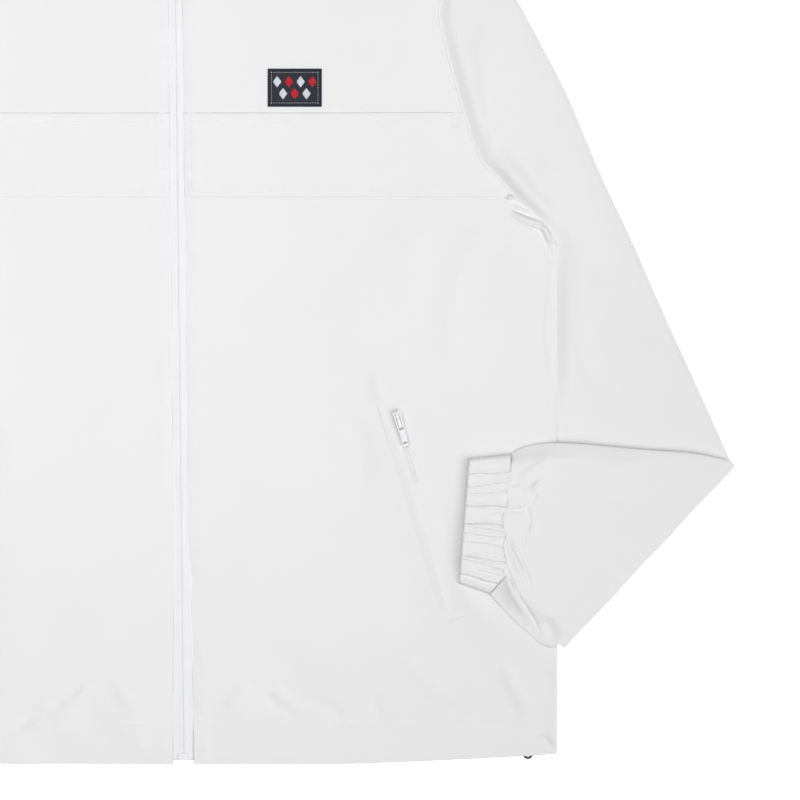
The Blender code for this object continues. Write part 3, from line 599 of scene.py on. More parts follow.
def makeYoke(word, side):
    baseUp, neckUp = body["upperSeamUp"] - front["tuck"], body["frontNeckUp"]
    tip = body["shoulderTip"]
    startX = float(stripEdge(np.array(neckUp), side))
    edgeX, edgeUp, onShoulder = topEdge(startX, neckUp, 34, 50)
    shares = (edgeX - startX) / (tip[0] - startX)
    climbs = stations(0, 150, 3.2, [(0, 8, 0.55)]) / 150
    innerUp, outerUp = mix(baseUp, neckUp, climbs), mix(baseUp, tip[1], climbs)
    inner, outer = stripEdge(innerUp, side), bodyEdge(outerUp)
    x, drop = rolledRow(inner, outer, shares, front["zipRoll"], body["edgeRoll"])
    share = (x - inner[:, None]) / (outer - inner)[:, None]
    up = mix(innerUp[:, None], outerUp[:, None], share)
    lift = np.interp(share[-1], shares, edgeUp - mix(neckUp, tip[1], shares))
    up = up + climbs[:, None] * lift[None, :]
    z = frontDetail(x, up, side)
    seamUp = baseUp + front["tuck"]
    z = z - 0.02 * (1 - smooth((up - seamUp - 0.5) / 2))
    z = z - front["dip"] * (1 - smooth((up - seamUp + 1.6) / 1.2))
    z = z - drop
    # the shoulder seam rolls over to the back
    turns = np.radians([25, 50, 75, 90])
    amount = np.interp(share[-1], shares, onShoulder)
    normal = np.array([tip[1] - body["neckPoint"][1], body["neckPoint"][0] - tip[0]], float)
    normal = -normal / np.hypot(*normal)
    roll = yokePanel["shoulderRoll"]
    out = roll * np.sin(turns)[:, None] * amount
    fall = roll * (1 - np.cos(turns))[:, None] * np.maximum(amount, 0.3)
    x = np.vstack([x, x[-1] + normal[0] * out])
    up = np.vstack([up, up[-1] + normal[1] * out + 0.3 * (1 - amount)])
    z = np.vstack([z, z[-1] - fall])
    skirt(x, up, z)
    makePanel("yoke" + word.title(), (x, up, z), side, yokePanel, "yoke_" + word, side < 0)


for word, side in sides:
    makeLowerFront(word, side)
    makeChestBand(word, side)
    makeYoke(word, side)
print("fronts made")


backPanel = {"flat": (0.60, 0.71), "area": 0.36, "held": "laid", "wall": 0.9, "inset": 1.5, "high": 1.0}


def makeBack():
    inset = backPanel["inset"]
    ups = stations(0, body["upperSeamUp"], 7, [(0, 8, 3), (385, 470, 4)])
    across = np.linspace(0, 1, 34)
    rowsX = (bodyEdge(ups) - inset)[:, None] * across[None, :]
    rowsUp = np.repeat(ups[:, None], len(across), axis=1)
    climb = np.clip(rowsUp / 60, 0, 1)
    rowsUp = rowsUp + (hemUp(rowsX) + body["backHemShorter"]) * (1 - climb) ** 1.5
    tip = body["shoulderTip"]
    edgeX, edgeUp, onShoulder = topEdge(0.0, body["backNeckUp"], 15, 19)
    shares = edgeX / tip[0]
    climbs = np.linspace(0, 1, 28)[1:]
    innerUp = mix(body["upperSeamUp"], body["backNeckUp"], climbs)
    outerUp = mix(body["upperSeamUp"], tip[1], climbs)
    share = mix(across[None, :], shares[None, :], climbs[:, None])
    upperX = (bodyEdge(outerUp) - inset)[:, None] * share
    upperUp = mix(innerUp[:, None], outerUp[:, None], share)
    upperUp = upperUp + climbs[:, None] * (edgeUp - mix(body["backNeckUp"], tip[1], shares))[None, :]
    upperUp = upperUp - climbs[:, None] * 0.6 * onShoulder[None, :]
    x, up = np.vstack([rowsX, upperX]), np.vstack([rowsUp, upperUp])
    x = np.hstack([-x[:, :0:-1], x])
    up = np.hstack([up[:, :0:-1], up])
    z = bodyLift(x, up) + backPanel["high"]
    makePanel("backPanel", (x, up, z), 1, backPanel, "back", False)


makeBack()
print("back made")


collarStrip = {"flat": (0.46, 0.066), "area": 0.024, "held": "laid", "wall": 0.9, "backZ": 1.2,
               "sideTopUp": 724, "frontTopUp": 655, "backTopUp": 728, "topStitch": 4.0, "footStitch": 5}


def makeCollar():
    frontZ = float(bodyTop(np.array([0.0]), np.array([body["frontNeckUp"]]), 1)[0]) - 0.1
    backZ = collarStrip["backZ"]
    radius = (frontZ - backZ) / 2
    neck = body["neckPoint"]
    sideTop, frontTop, backTop = (collarStrip[key] for key in ("sideTopUp", "frontTopUp", "backTopUp"))
    rises = np.concatenate([[0], stations(0.01, 1, 0.045, [(0.9, 1, 0.02)])])
    arcs = np.linspace(0, math.pi / 2, 30)
    folds = np.linspace(0, math.pi, 9)[1:-1]
    columns = []
    for side in (1, -1):
        half = []
        for turn in arcs:
            sine, cosine = math.sin(turn), math.cos(turn)
            baseX = float(stripEdge(np.array(body["frontNeckUp"]), side))
            topX = float(stripEdge(np.array(frontTop), side))
            base = (mix(baseX, neck[0], sine), neck[1] - (neck[1] - body["frontNeckUp"]) * cosine)
            top = (mix(topX, neck[0], sine), sideTop - (sideTop - frontTop) * cosine)
            half.append((base, top, 0.0, frontZ))
        for turn in folds:
            z = (frontZ + backZ) / 2 + radius * math.cos(turn)
            half.append(((neck[0], neck[1]), (neck[0], sideTop), radius * math.sin(turn), z))
        for turn in arcs[::-1]:
            sine, cosine = math.sin(turn), math.cos(turn)
            base = (neck[0] * sine, neck[1] - (neck[1] - body["backNeckUp"]) * cosine)
            top = (neck[0] * sine, sideTop - (sideTop - backTop) * cosine)
            half.append((base, top, 0.0, backZ))
        line = []
        for base, top, out, z in half:
            x = mix(base[0], top[0], rises) + out
            up = mix(base[1], top[1], rises)
            line.append(np.stack([side * x, up, np.full(len(rises), z), rises], axis=-1))
        columns.extend(line if side > 0 else line[::-1][1:])
    grid = np.array(columns)
    x, up, z, rise = grid[..., 0], grid[..., 1], grid[..., 2], grid[..., 3]
    onTop = smooth((z - (frontZ + backZ) / 2) / (frontZ - backZ) * 2)
    height = sideTop - neck[1]
    detail = 0.4 * (1 - smooth((rise * height - 6) / 2)) + stitchDimple(rise * height - collarStrip["footStitch"])
    detail += stitchDimple((1 - rise) * height - collarStrip["topStitch"])
    detail += 0.45 * noiseAt(x, up, 26, 5) + 0.25 * noiseAt(x, up, 11, 6)
    edge = smooth(np.minimum(rise, 1 - rise) * height / 1.4)
    z = z + onTop * (detail - 0.7 * (1 - edge) ** 2)
    run = runLength(np.stack([x[:, 5], up[:, 5]], axis=-1))
    clothMap = np.stack([np.repeat(run[:, None], x.shape[1], axis=1), rise * height], axis=-1) * mm
    makePanel("collarStrip", (x, up, z), 1, collarStrip, "collar", True, clothMap)


makeCollar()
print("collar made")


sleeve = {
    "flat": (0.50, 0.64), "area": 0.232, "held": "folded",
    "thick": 3.3, "width": 180, "lean": 0.12,
    "loft": 4.9,
    "loftStart": -2.5,        # where the sleeve starts to rise from under the armhole, and under the side below it
    "sideStart": -5.5,
    "loftReach": 14,
    "footUp": 250,
    "footReach": 60,
    "outerReach": 42,         # how far in from the outer edge the sleeve rises
    "elbowTip": (425, 232),
    "elbowFoot": (294, 92),
    "elbowAxisZ": 5.0,
    "acrossFaces": {"left": 84, "right": 62},
    "upperRows": {"left": 84, "right": 62},
    "forearmRows": {"left": 140, "right": 100},
    "sinkUpper": 1.5, "sinkLower": 3.9,      # forearm's rims lie lower and thinner than its middle
    "thinUpper": 0.4, "thinLower": 0.72,
    "sinkWrist": 1.3, "thinWrist": 0.25,
    "rimUpperReach": 14, "rimLowerReach": 22,
    "forearmRun": 87, "scallopRun": 29,      # forearm's length along its middle, and how much of it the scallops reach
}
upperSleeveRows = [   # outer x, outer up, inner x, inner up, share of the armhole's curve
    (208, 624, 189, 372, 1.0), (236, 612, 184.5, 352, 0.9), (259, 590, 183, 332, 0.7),
    (279, 554, 183, 312, 0.4), (300.3, 512, 185, 290, 0.15), (325, 453, 193, 258, 0.0),
    (349.6, 400.4, 207, 225, 0.0), (374, 345, 224, 190, 0.0), (399, 290, 247, 150, 0.0),
    (417, 250, 272, 113, 0.0), (425, 232, 294, 92, 0.0),
]
forearmRows = [       # outer x, outer up, inner x, inner up, middle height, thickness
    (425, 232, 294, 92, 8.35, 3.3), (396, 238, 286, 89.5, 8.9, 4.0), (362, 240.5, 277, 93, 9.7, 5.0),
    (334, 243, 269.5, 100, 10.4, 5.8), (308, 245.3, 261, 107, 10.9, 6.2), (286, 245.8, 253, 115.5, 11.2, 6.4),
    (268, 243.5, 246, 123, 11.3, 6.4), (254.8, 237.5, 239.3, 130.5, 11.4, 6.4),
]
sleeveFolds = [
    ("roll", 8, 1.3, ((478, 20), (481, 38), (485, 70), (488, 100), (494, 130))),
    ("roll", 5, -0.7, ((508, 30), (514, 70), (521, 112), (530, 172), (536, 196))),
    ("roll", 7, 1.0, ((546, 150), (549, 176), (550, 200))),
    ("pinch", 1.6, 0.7, ((487, 126), (491, 140), (492, 158))),
    ("roll", 6, 1.0, ((498, 150), (503, 164), (514, 186))),
    ("roll", 5.5, 2.0, ((504, 158), (510, 168), (521, 184), (535, 199), (550, 213), (560, 224))),
    ("roll", 7, -1.2, ((548, 214), (560, 240), (562, 290))),
    ("roll", 10, 1.0, ((575, 250), (580, 310), (586, 360), (600, 402))),
    ("roll", 12, -0.9, ((594, 228), (614, 282), (630, 322), (648, 356))),
    ("roll", 7, 0.9, ((622, 246), (634, 268), (650, 292))),
    ("roll", 9, -0.9, ((640, 296), (646, 322), (656, 350))),
    ("roll", 9, 0.9, ((604, 412), (622, 430), (650, 446))),
    ("roll", 8, -0.6, ((612, 370), (626, 396), (648, 420))),
    ("roll", 8, 0.6, ((560, 100), (575, 150), (590, 200))),
]
forearmFolds = [
    ("roll", 2.6, 1.0, ((507, 470), (512, 461), (520, 455))),
    ("pinch", 1.0, -1.5, ((508, 484.5), (513, 482.5), (520, 481), (526, 477))),
    ("roll", 2.2, 1.1, ((516, 479), (532, 468.5), (549, 457))),
    ("pinch", 1.3, -1.5, ((517, 486.5), (527, 484), (540, 478.5))),
    ("roll", 1.8, 1.2, ((531, 488), (536, 484), (540, 480))),
    ("pinch", 0.9, -1.5, ((536, 490), (534, 496), (529, 505))),
    ("pinch", 1.0, -1.7, ((499, 508), (508, 509), (514, 509.5), (520, 508.5), (528, 505), (533, 502))),
    ("roll", 3.0, 0.7, ((502, 503), (512, 503), (522, 501), (530, 498))),
    ("pinch", 1.0, -1.4, ((523, 506), (528, 514), (529.5, 526))),
    ("roll", 1.6, 1.1, ((531, 522), (531, 528), (530, 533))),
    ("pinch", 1.0, -1.0, ((523, 532), (524, 538), (523, 546))),
    ("pinch", 0.75, -2.3, ((503, 528), (510.4, 541.5), (520.7, 560.5), (526.5, 575), (533, 591))),
    ("roll", 2.2, 0.9, ((505, 541), (511, 551), (517, 563), (522, 578))),
    ("pinch", 0.75, -2.6, ((502, 556), (512, 582.5), (520.7, 598.6), (529.5, 612), (536.8, 625), (543, 641))),
    ("roll", 2.4, 0.9, ((503, 569), (509, 585), (518, 601), (528, 617))),
    ("roll", 5, -1.6, ((545, 612), (549, 626), (552, 644))),
    ("roll", 8, -0.8, ((600, 500), (616, 520), (630, 516))),
    ("roll", 9, 0.9, ((560, 470), (590, 476), (630, 470))),
    ("roll", 6, -0.9, ((600, 592), (614, 580), (632, 562))),
]
seamScallops = [   # share down the cuff seam, how far it runs out towards the elbow
    (0, 0.4), (0.16, 2.6), (0.22, 3.0), (0.25, 1.6), (0.31, 2.8), (0.37, 4.0), (0.42, 2.2), (0.48, 1.7),
    (0.55, 5.0), (0.58, 6.6), (0.63, 5.0), (0.69, 6.4), (0.76, 9.2), (0.80, 8.4), (0.83, 7.2), (0.86, 9.6),
    (0.90, 6.8), (0.94, 4.2), (1.0, 0.3),
]


# how far the cuff's seam is drawn towards the elbow
def seamPull(shares, strength):
    pull = curveAt(seamScallops, shares)[None, :] * strength[:, None]
    return pull[..., None] * np.array([0.985, -0.17])


# a tube's panel: its two faces joined in a ring, mapped by the length along and around it
def makeTube(name, facing, under, side, cut, node, along, aroundRow):
    ring = np.concatenate([facing, under[:, -2:0:-1]], axis=1)
    if along is None:
        along = runLength(ring[:, 30])
    clothMap = np.stack(np.meshgrid(runLength(ring[aroundRow]), along), axis=-1) * mm
    makePanel(name, np.moveaxis(ring, -1, 0), side, cut, node, side > 0, clothMap, closed=True)


# shares across a flattened tube with its rounded edges, and the reach of its faces there
def tubeShares(width, radius, faces, lean=0.0):
    turns = np.radians([0, 22, 45, 68, 90])
    rounding = radius * (1 - np.cos(turns)) / width
    inside = np.linspace(rounding[-1], 1 - rounding[-1], faces)[1:-1]
    inside = inside + lean * np.sin(math.pi * (inside - rounding[-1]) / (1 - 2 * rounding[-1]))
    return np.concatenate([rounding, inside, 1 - rounding[::-1]])


def tubeReach(shares, widths, radii):
    inset = np.minimum(shares[None, :], 1 - shares[None, :]) * widths[:, None]
    inset = np.minimum(inset, radii[:, None])
    return np.sqrt(np.maximum(0, radii[:, None] ** 2 - (radii[:, None] - inset) ** 2))


# places between the two edges of a tube, a row for each section
def between(outer, inner, shares):
    s = shares[None, :, None]
    return outer[:, None, :] * (1 - s) + inner[:, None, :] * s


# upper sleeve, which rises from under the armhole's edge
def upperSleeve(word, side, shares, radius, shift):
    rows = splineRows(upperSleeveRows, sleeve["upperRows"][word])
    outer, inner, bowShare = rows[:, 0:2], rows[:, 2:4], rows[:, 4]
    place = between(outer, inner, shares)
    first = upperSleeveRows[0]
    bowUp = mix(first[1], first[3], shares)
    bow = curveAt(underEdgeRows, bowUp) - mix(first[0], first[2], shares)
    place[..., 0] += bow[None, :] * bowShare[:, None]
    x, up = place[..., 0], place[..., 1]
    widths = np.hypot(*(outer - inner).T)
    reach = tubeReach(shares, widths, np.full(len(rows), radius))
    start = mix(sleeve["sideStart"], sleeve["loftStart"], smooth((up - 375) / 40))
    beside = smooth((x - bodyEdge(up) - start) / sleeve["loftReach"])
    above = smooth((up - sleeve["footUp"]) / sleeve["footReach"])
    fromOuter = np.minimum(shares, 1 - shares)[None, :]
    loft = sleeve["loft"] + foldHeight(x, up, sleeveFolds, shift, 1.7) + 0.8 * noiseAt(x, up * 0.5, 38, 12 + side)
    loft = loft + 0.9 * smooth((x - bodyEdge(up) - 20) / 50)
    fromEdge = np.clip(fromOuter * widths[:, None] / sleeve["outerReach"], 0, 1)
    loft = loft * beside * above * np.sqrt(limb(fromEdge)) ** 1.3
    return np.stack([x, up, radius + reach + loft], axis=-1), np.stack([x, up, radius - reach], axis=-1)


# fold at the elbow, about an axis above the upper sleeve
def elbowFold(shares, radius):
    tip, foot = np.array(sleeve["elbowTip"], float), np.array(sleeve["elbowFoot"], float)
    outward = np.array([(tip - foot)[1], -(tip - foot)[0]])
    outward = outward / np.hypot(*outward)
    line = tip[None, :] * (1 - shares[:, None]) + foot[None, :] * shares[:, None]
    foldRadius = sleeve["elbowAxisZ"] - radius
    width = np.hypot(*(tip - foot))
    edgeReach = tubeReach(shares, np.array([width]), np.array([radius]))[0]
    topRings, footRings = [], []
    for turn in np.linspace(0, math.pi, 14)[1:-1]:
        sine, cosine = math.sin(turn), math.cos(turn)
        slack = 0.25 * math.sin(turn) * np.sin(shares * 19)
        for rings, sign in ((topRings, 1), (footRings, -1)):
            away = foldRadius - sign * edgeReach + (slack if sign < 0 else 0)
            flat = line + outward[None, :] * (away * sine)[:, None]
            rings.append(np.column_stack([flat, sleeve["elbowAxisZ"] - away * cosine]))
    return np.array(topRings), np.array(footRings)


# forearm laid on the body; its lower face comes first because it is turned over
def foldedForearm(word, side, shares, shift):
    count = sleeve["forearmRows"][word]
    fromOuter = np.minimum(shares, 1 - shares)[None, :]
    rows = splineRows(forearmRows, count, 1.5)
    progress = (1 - (1 - np.linspace(0, 1, count)) ** 1.5) * sleeve["forearmRun"]
    outer, inner, middle, thick = rows[:, 0:2], rows[:, 2:4], rows[:, 4], rows[:, 5]
    place = between(outer, inner, shares)
    # the seam at the cuff is scalloped, fading out over the last part of the forearm
    ends = smooth((progress - sleeve["forearmRun"] + sleeve["scallopRun"]) / sleeve["scallopRun"])
    place = place + seamPull(shares, ends)
    x, up = place[..., 0], place[..., 1]
    widths = np.hypot(*(outer - inner).T)
    reach = tubeReach(shares, widths, thick / 2)
    crease = foldHeight(x, up, forearmFolds, shift, 1.45) + 0.7 * noiseAt(x, up, 34, 15 + side)
    crease = crease + 1.5 * smooth(fromOuter / 0.3) * smooth(progress / 40)[:, None]
    crease = crease * smooth(fromOuter / 0.1)
    tuck = smooth((progress - 85) / 2)[:, None] * 0.5
    grown = smooth(progress / 30)[:, None]
    rimUpper = (1 - smooth(shares[None, :] * widths[:, None] / sleeve["rimUpperReach"])) * grown
    rimLower = (1 - smooth((1 - shares[None, :]) * widths[:, None] / sleeve["rimLowerReach"])) * grown
    wrist = smooth((progress - 45) / 25)[:, None]
    middle = middle[:, None] - (sleeve["sinkUpper"] + sleeve["sinkWrist"] * wrist) * rimUpper
    middle = middle - sleeve["sinkLower"] * rimLower
    thin = 1 - (sleeve["thinUpper"] + sleeve["thinWrist"] * wrist) * rimUpper - sleeve["thinLower"] * rimLower
    foreTop = np.stack([x, up, middle + reach * thin + crease - tuck], axis=-1)
    foreFoot = np.stack([x, up, middle - reach * thin + tuck * 0.5], axis=-1)
    return foreFoot, foreTop


def makeSleeve(word, side):
    shift = 0 if side > 0 else 8
    radius = sleeve["thick"] / 2
    # faces are finest at the armhole and the wrist
    shares = tubeShares(sleeve["width"], radius, sleeve["acrossFaces"][word], sleeve["lean"])
    sections = [upperSleeve(word, side, shares, radius, shift), elbowFold(shares, radius),
                foldedForearm(word, side, shares, shift)]
    facing = np.concatenate([first for first, second in sections])
    under = np.concatenate([second for first, second in sections])
    makeTube("sleeve" + word.title(), facing, under, side, sleeve, "sleeve_" + word, None, 60)


for word, side in sides:
    makeSleeve(word, side)
print("sleeves made")


cuff = {
    "flat": (0.28, 0.034), "area": 0.0095, "held": "gathered", "wall": 0.6,
    "seamTop": (254.2, 237.0), "seamFoot": (238.6, 131),
    "endTop": (224.6, 233.5), "endFoot": (217, 138.5),
    "bottomZ": 8.2, "thick": 6.6, "width": 100, "seamWidth": 103, "length": 31,
    "tuckIn": 1.2,
    "puff": 1.9,
    "ridge": 0.65,
    "sinkLower": 3.2, "sinkReach": 16,
    "acrossFaces": {"left": 180, "right": 104},
    "lengthRows": 34,
}
# gathers as seen: share of the way down at the cuff's end and at its seam, depth, and where each runs out
cuffGathers = [
    (0.035, 0.05, 0.5, 1.0), (0.125, 0.125, 1.0, 1.0), (0.16, 0.145, 0.5, 0.6), (0.225, 0.195, 1.0, 1.0),
    (0.29, 0.265, 0.9, 1.0), (0.375, 0.37, 1.4, 1.0), (0.41, 0.43, 0.4, 0.5), (0.515, 0.50, 1.3, 1.0),
    (0.535, 0.555, 0.9, 1.0), (0.60, 0.59, 0.9, 1.0), (0.66, 0.655, 0.9, 1.0), (0.72, 0.72, 0.5, 0.7),
    (0.775, 0.765, 1.1, 1.0), (0.80, 0.82, 0.9, 1.0), (0.855, 0.87, 0.5, 0.8), (0.925, 0.925, 1.1, 1.0),
]


def makeCuff(word, side):
    radius = cuff["thick"] / 2
    shares = tubeShares(cuff["width"], radius, cuff["acrossFaces"][word])
    runs = np.concatenate([[-0.04], np.linspace(0, 1, cuff["lengthRows"]), [1.02, 1.01]])
    top = np.array([cuff["seamTop"]]) * (1 - runs[:, None]) + np.array([cuff["endTop"]]) * runs[:, None]
    foot = np.array([cuff["seamFoot"]]) * (1 - runs[:, None]) + np.array([cuff["endFoot"]]) * runs[:, None]
    place = between(top, foot, shares)
    place = place + seamPull(shares, 1 - smooth(runs / 0.9))
    inset = np.array([0] * (cuff["lengthRows"] + 1) + [cuff["tuckIn"], 2 * cuff["tuckIn"]])[:, None]
    gaps = np.ones((len(runs), len(shares)))
    ridges = np.zeros(gaps.shape)
    bound = [(0, 0, 1.0, 1.0)] + cuffGathers + [(1, 1, 1.0, 1.0)]
    run = np.clip(runs, 0, 1)[:, None]
    for atEnd, atSeam, depth, length in bound:
        centre = mix(atSeam, atEnd, run) + 0.004 * np.sin(run * 7 + atEnd * 40)
        distance = np.abs(shares[None, :] - centre) * cuff["seamWidth"]
        strength = depth * (1 if length >= 1 else smooth((length - run) / 0.3))
        gaps = np.minimum(gaps, 1 - np.minimum(strength, 1.3) / 1.3 * np.exp(-(distance / 0.85) ** 1.1))
        above = (centre - shares[None, :]) * cuff["seamWidth"]
        ridges = np.maximum(ridges, cuff["ridge"] * strength * np.exp(-((above - 1.5) / 1.1) ** 2))
    puffs = cuff["puff"] * (gaps - 0.55) + ridges
    puffs = puffs * (1 - 0.25 * smooth((run - 0.7) / 0.3))
    puffs = puffs + 0.14 * noiseAt(place[..., 0] * 0.5, place[..., 1], 3.2, 31 + side)
    puffs = puffs * smooth(np.minimum(shares, 1 - shares) / 0.03)[None, :]
    ends = smooth(run / 0.06) * smooth((1 - run) / 0.05)
    reach = tubeReach(shares, np.full(len(runs), float(cuff["width"])), np.full(len(runs), radius))
    rimLower = (1 - smooth((1 - shares[None, :]) * cuff["seamWidth"] / cuff["sinkReach"])) * np.ones(puffs.shape)
    reach = (reach - 0.2 * (1 - ends) - inset) * (1 - 0.5 * rimLower)
    middle = cuff["bottomZ"] + radius - cuff["sinkLower"] * rimLower
    x, up = place[..., 0], place[..., 1]
    facing = np.stack([x, up, middle - np.maximum(reach + puffs * 0.6, 0.3)], axis=-1)
    under = np.stack([x, up, middle + np.maximum(reach + puffs, 0.3)], axis=-1)
    makeTube("cuff" + word.title(), facing, under, side, cuff, "cuff_" + word,
             runs * cuff["length"], 10)


for word, side in sides:
    makeCuff(word, side)
print("cuffs made")


def stitchTree():
    tree = bpy.data.node_groups.new("stitchesAlongLines", "GeometryNodeTree")
    face = tree.interface
    face.new_socket("Lines", in_out="INPUT", socket_type="NodeSocketGeometry")
    sockets = {}
    for name, kind in (("Pitch", "Float"), ("Length", "Float"), ("Thickness", "Float"), ("Turn", "Float"),
                       ("Uneven", "Float"), ("Seed", "Int"), ("Thread", "Material")):
        sockets[name] = face.new_socket(name, in_out="INPUT", socket_type="NodeSocket" + kind).identifier
    face.new_socket("Stitches", in_out="OUTPUT", socket_type="NodeSocketGeometry")
    made = {}
    for key, kind, settings in (
            ("start", "NodeGroupInput", {}), ("curve", "GeometryNodeMeshToCurve", {}),
            ("points", "GeometryNodeResampleCurve", {"mode": "LENGTH"}),
            ("bead", "GeometryNodeMeshUVSphere", {"Segments": 5, "Rings": 4, "Radius": 0.5}),
            ("size", "ShaderNodeCombineXYZ", {}), ("shape", "GeometryNodeTransform", {}),
            ("tangent", "GeometryNodeInputTangent", {}), ("aim", "FunctionNodeAlignRotationToVector", {"axis": "X"}),
            ("spin", "ShaderNodeCombineXYZ", {}), ("angle", "FunctionNodeEulerToRotation", {}),
            ("turned", "FunctionNodeRotateRotation", {"rotation_space": "LOCAL"}),
            ("chance", "FunctionNodeRandomValue", {"data_type": "FLOAT"}),
            ("sum", "ShaderNodeMath", {"operation": "ADD"}), ("less", "ShaderNodeMath", {"operation": "MULTIPLY"}),
            ("place", "GeometryNodeInstanceOnPoints", {}), ("real", "GeometryNodeRealizeInstances", {}),
            ("soft", "GeometryNodeSetShadeSmooth", {}), ("paint", "GeometryNodeSetMaterial", {}),
            ("end", "NodeGroupOutput", {})):
        made[key] = addNode(tree, kind, **settings)
    made["less"].inputs[1].default_value = -1
    lowest, highest = [entry for entry in made["chance"].inputs
                       if entry.type == "VALUE" and entry.name in ("Min", "Max")]
    drawn = [output for output in made["chance"].outputs if output.type == "VALUE" and output.enabled][0]
    tree.links.new(made["less"].outputs[0], lowest)
    tree.links.new(made["start"].outputs["Uneven"], highest)
    tree.links.new(drawn, made["sum"].inputs[0])
    for giver, output, taker, entry in (
            ("start", "Lines", "curve", "Mesh"), ("curve", "Curve", "points", "Curve"),
            ("start", "Pitch", "points", "Length"), ("start", "Length", "size", "X"),
            ("start", "Thickness", "size", "Y"), ("start", "Thickness", "size", "Z"),
            ("bead", "Mesh", "shape", "Geometry"), ("size", "Vector", "shape", "Scale"),
            ("tangent", "Tangent", "aim", "Vector"), ("start", "Uneven", "less", 0),
            ("start", "Seed", "chance", "Seed"), ("start", "Turn", "sum", 1),
            ("sum", "Value", "spin", "Z"), ("spin", "Vector", "angle", "Euler"),
            ("aim", "Rotation", "turned", "Rotation"), ("angle", "Rotation", "turned", "Rotate By"),
            ("points", "Curve", "place", "Points"), ("shape", "Geometry", "place", "Instance"),
            ("turned", "Rotation", "place", "Rotation"), ("place", "Instances", "real", "Geometry"),
            ("real", "Geometry", "soft", "Geometry"), ("soft", "Geometry", "paint", "Geometry"),
            ("start", "Thread", "paint", "Material"), ("paint", "Geometry", "end", "Stitches")):
        link(tree, made[giver], output, made[taker], entry)
    return tree, sockets


stitchNodes, stitchSockets = stitchTree()


# stitches in millimetres along lines of world points; turn and uneven are angles in radians
def makeStitches(name, lines, material, slotName, *nodes, pitch=3.0, length=2.5, thickness=0.42,
                 turn=0.0, uneven=0.05, seed=1):
    mesh = bpy.data.meshes.new(name)
    points, edges = [], []
    for line in lines:
        first = len(points)
        points.extend([tuple(point) for point in line])
        edges.extend([(i, i + 1) for i in range(first, len(points) - 1)])
    mesh.from_pydata(points, edges, [])
    piece = addObject(name, mesh)
    modifier = piece.modifiers.new("stitches", "NODES")
    modifier.node_group = stitchNodes
    for key, value in (("Pitch", pitch * mm), ("Length", length * mm), ("Thickness", thickness * mm),
                       ("Turn", turn), ("Uneven", uneven), ("Seed", seed), ("Thread", material)):
        modifier[stitchSockets[key]] = value
    makePlain(piece)
    if not piece.data.uv_layers:
        mapFromAbove(piece.data)
    assign(piece, material, "garment", slotName, *nodes)
    print(f"{name}: {len(piece.data.polygons)} faces")


# map of a piece that isn't a grid
def mapFromAbove(mesh):
    points = np.empty(len(mesh.vertices) * 3, dtype=np.float32)
    mesh.vertices.foreach_get("co", points)
    points = points.reshape(-1, 3)
    setMap(mesh, points[:, :2] + points[:, 2:3] * 0.7)


# how far a seam's stitches keep from the zip and the side, their points' spacing, and their height on the cloth
sewing = {"fromZip": 1.6, "fromSide": 1.8, "step": 2.0, "hemHigh": 0.085, "crossHigh": 0.14, "zipHigh": 0.12}


def frontSeams():
    def acrossFront(up, outer):
        return np.arange(float(stripEdge(np.array(up), side)) + sewing["fromZip"], outer - sewing["fromSide"],
                         sewing["step"])
    lines = []
    lowSeam, highSeam = body["lowerSeamUp"], body["upperSeamUp"]
    for side in (1, -1):
        x = acrossFront(30.0, body["halfWidth"])
        up = hemUp(x) + body["hemDepth"]
        lines.append(worldPoints(x, up, frontDetail(x, up, side) + sewing["hemHigh"], side))
        for up in (lowSeam + front["lowStitch"], highSeam - front["highStitch"]):
            x = acrossFront(up, float(bodyEdge(np.array(up))))
            rows = np.full(x.shape, up)
            lines.append(worldPoints(x, rows, bandDetail(x, rows, side) + sewing["crossHigh"], side))
        for low, high, detail in ((1.5, lowSeam - 1, frontDetail), (lowSeam + 1, highSeam - 1, bandDetail),
                                  (highSeam + 1, body["frontNeckUp"] - 1, frontDetail)):
            rows = np.arange(low, high, sewing["step"])
            x = stripEdge(rows, side) + front["topStitch"]
            lines.append(worldPoints(x, rows, detail(x, rows, side) + sewing["zipHigh"], side))
    return lines


makeStitches("seamStitches", frontSeams(), threadMaterial, "shell_cloth")
print("seams sewn")


zipTape = {"flat": (0.016, 0.655), "area": 0.0086, "held": "laid", "wall": 0.6, "top": 3.35, "under": 2.4,
           "coilAt": 1.75, "coilHigh": 0.16, "ribPitch": 1.35}
zipPlastic, plasticTree, plasticShader = newMaterial("zipPlastic", (0.80, 0.80, 0.815), 0.34, Specular_IOR_Level=0.5)
grain = addNode(plasticTree, "ShaderNodeTexNoise", Scale=900, Detail=2)
coords = addNode(plasticTree, "ShaderNodeTexCoord")
link(plasticTree, coords, "Object", grain, "Vector")
grainBump = addBump(plasticTree, grain, "Fac", 0.25, 0.00008)
link(plasticTree, grainBump, "Normal", plasticShader, "Normal")


# height of the zip's face; offset is signed from its middle line
def tapeTop(offset, up):
    half = curveAt(front["inner"], up)
    away = np.abs(offset)
    wave = 0.32 * noiseAt(offset * 0.25, up, 27, 41) + 0.16 * noiseAt(offset, up * 0.4, 9, 42)
    wave = wave + 0.25 * np.sin(up / 7.1 + 2.2 * np.sin(up / 43)) * noiseAt(offset * 0, up, 80, 44)
    top = zipTape["top"] + wave * smooth((half + 1 - away) / 2)
    top = top + zipTape["coilHigh"] * np.exp(-((away - zipTape["coilAt"]) / 1.1) ** 2)
    top = top - 0.08 * np.exp(-(away / 0.35) ** 2) + 0.8 * zipPucker(up, 4)
    hide = smooth((away - half - 0.1) / 0.8)
    return mix(top, zipTape["under"], hide)


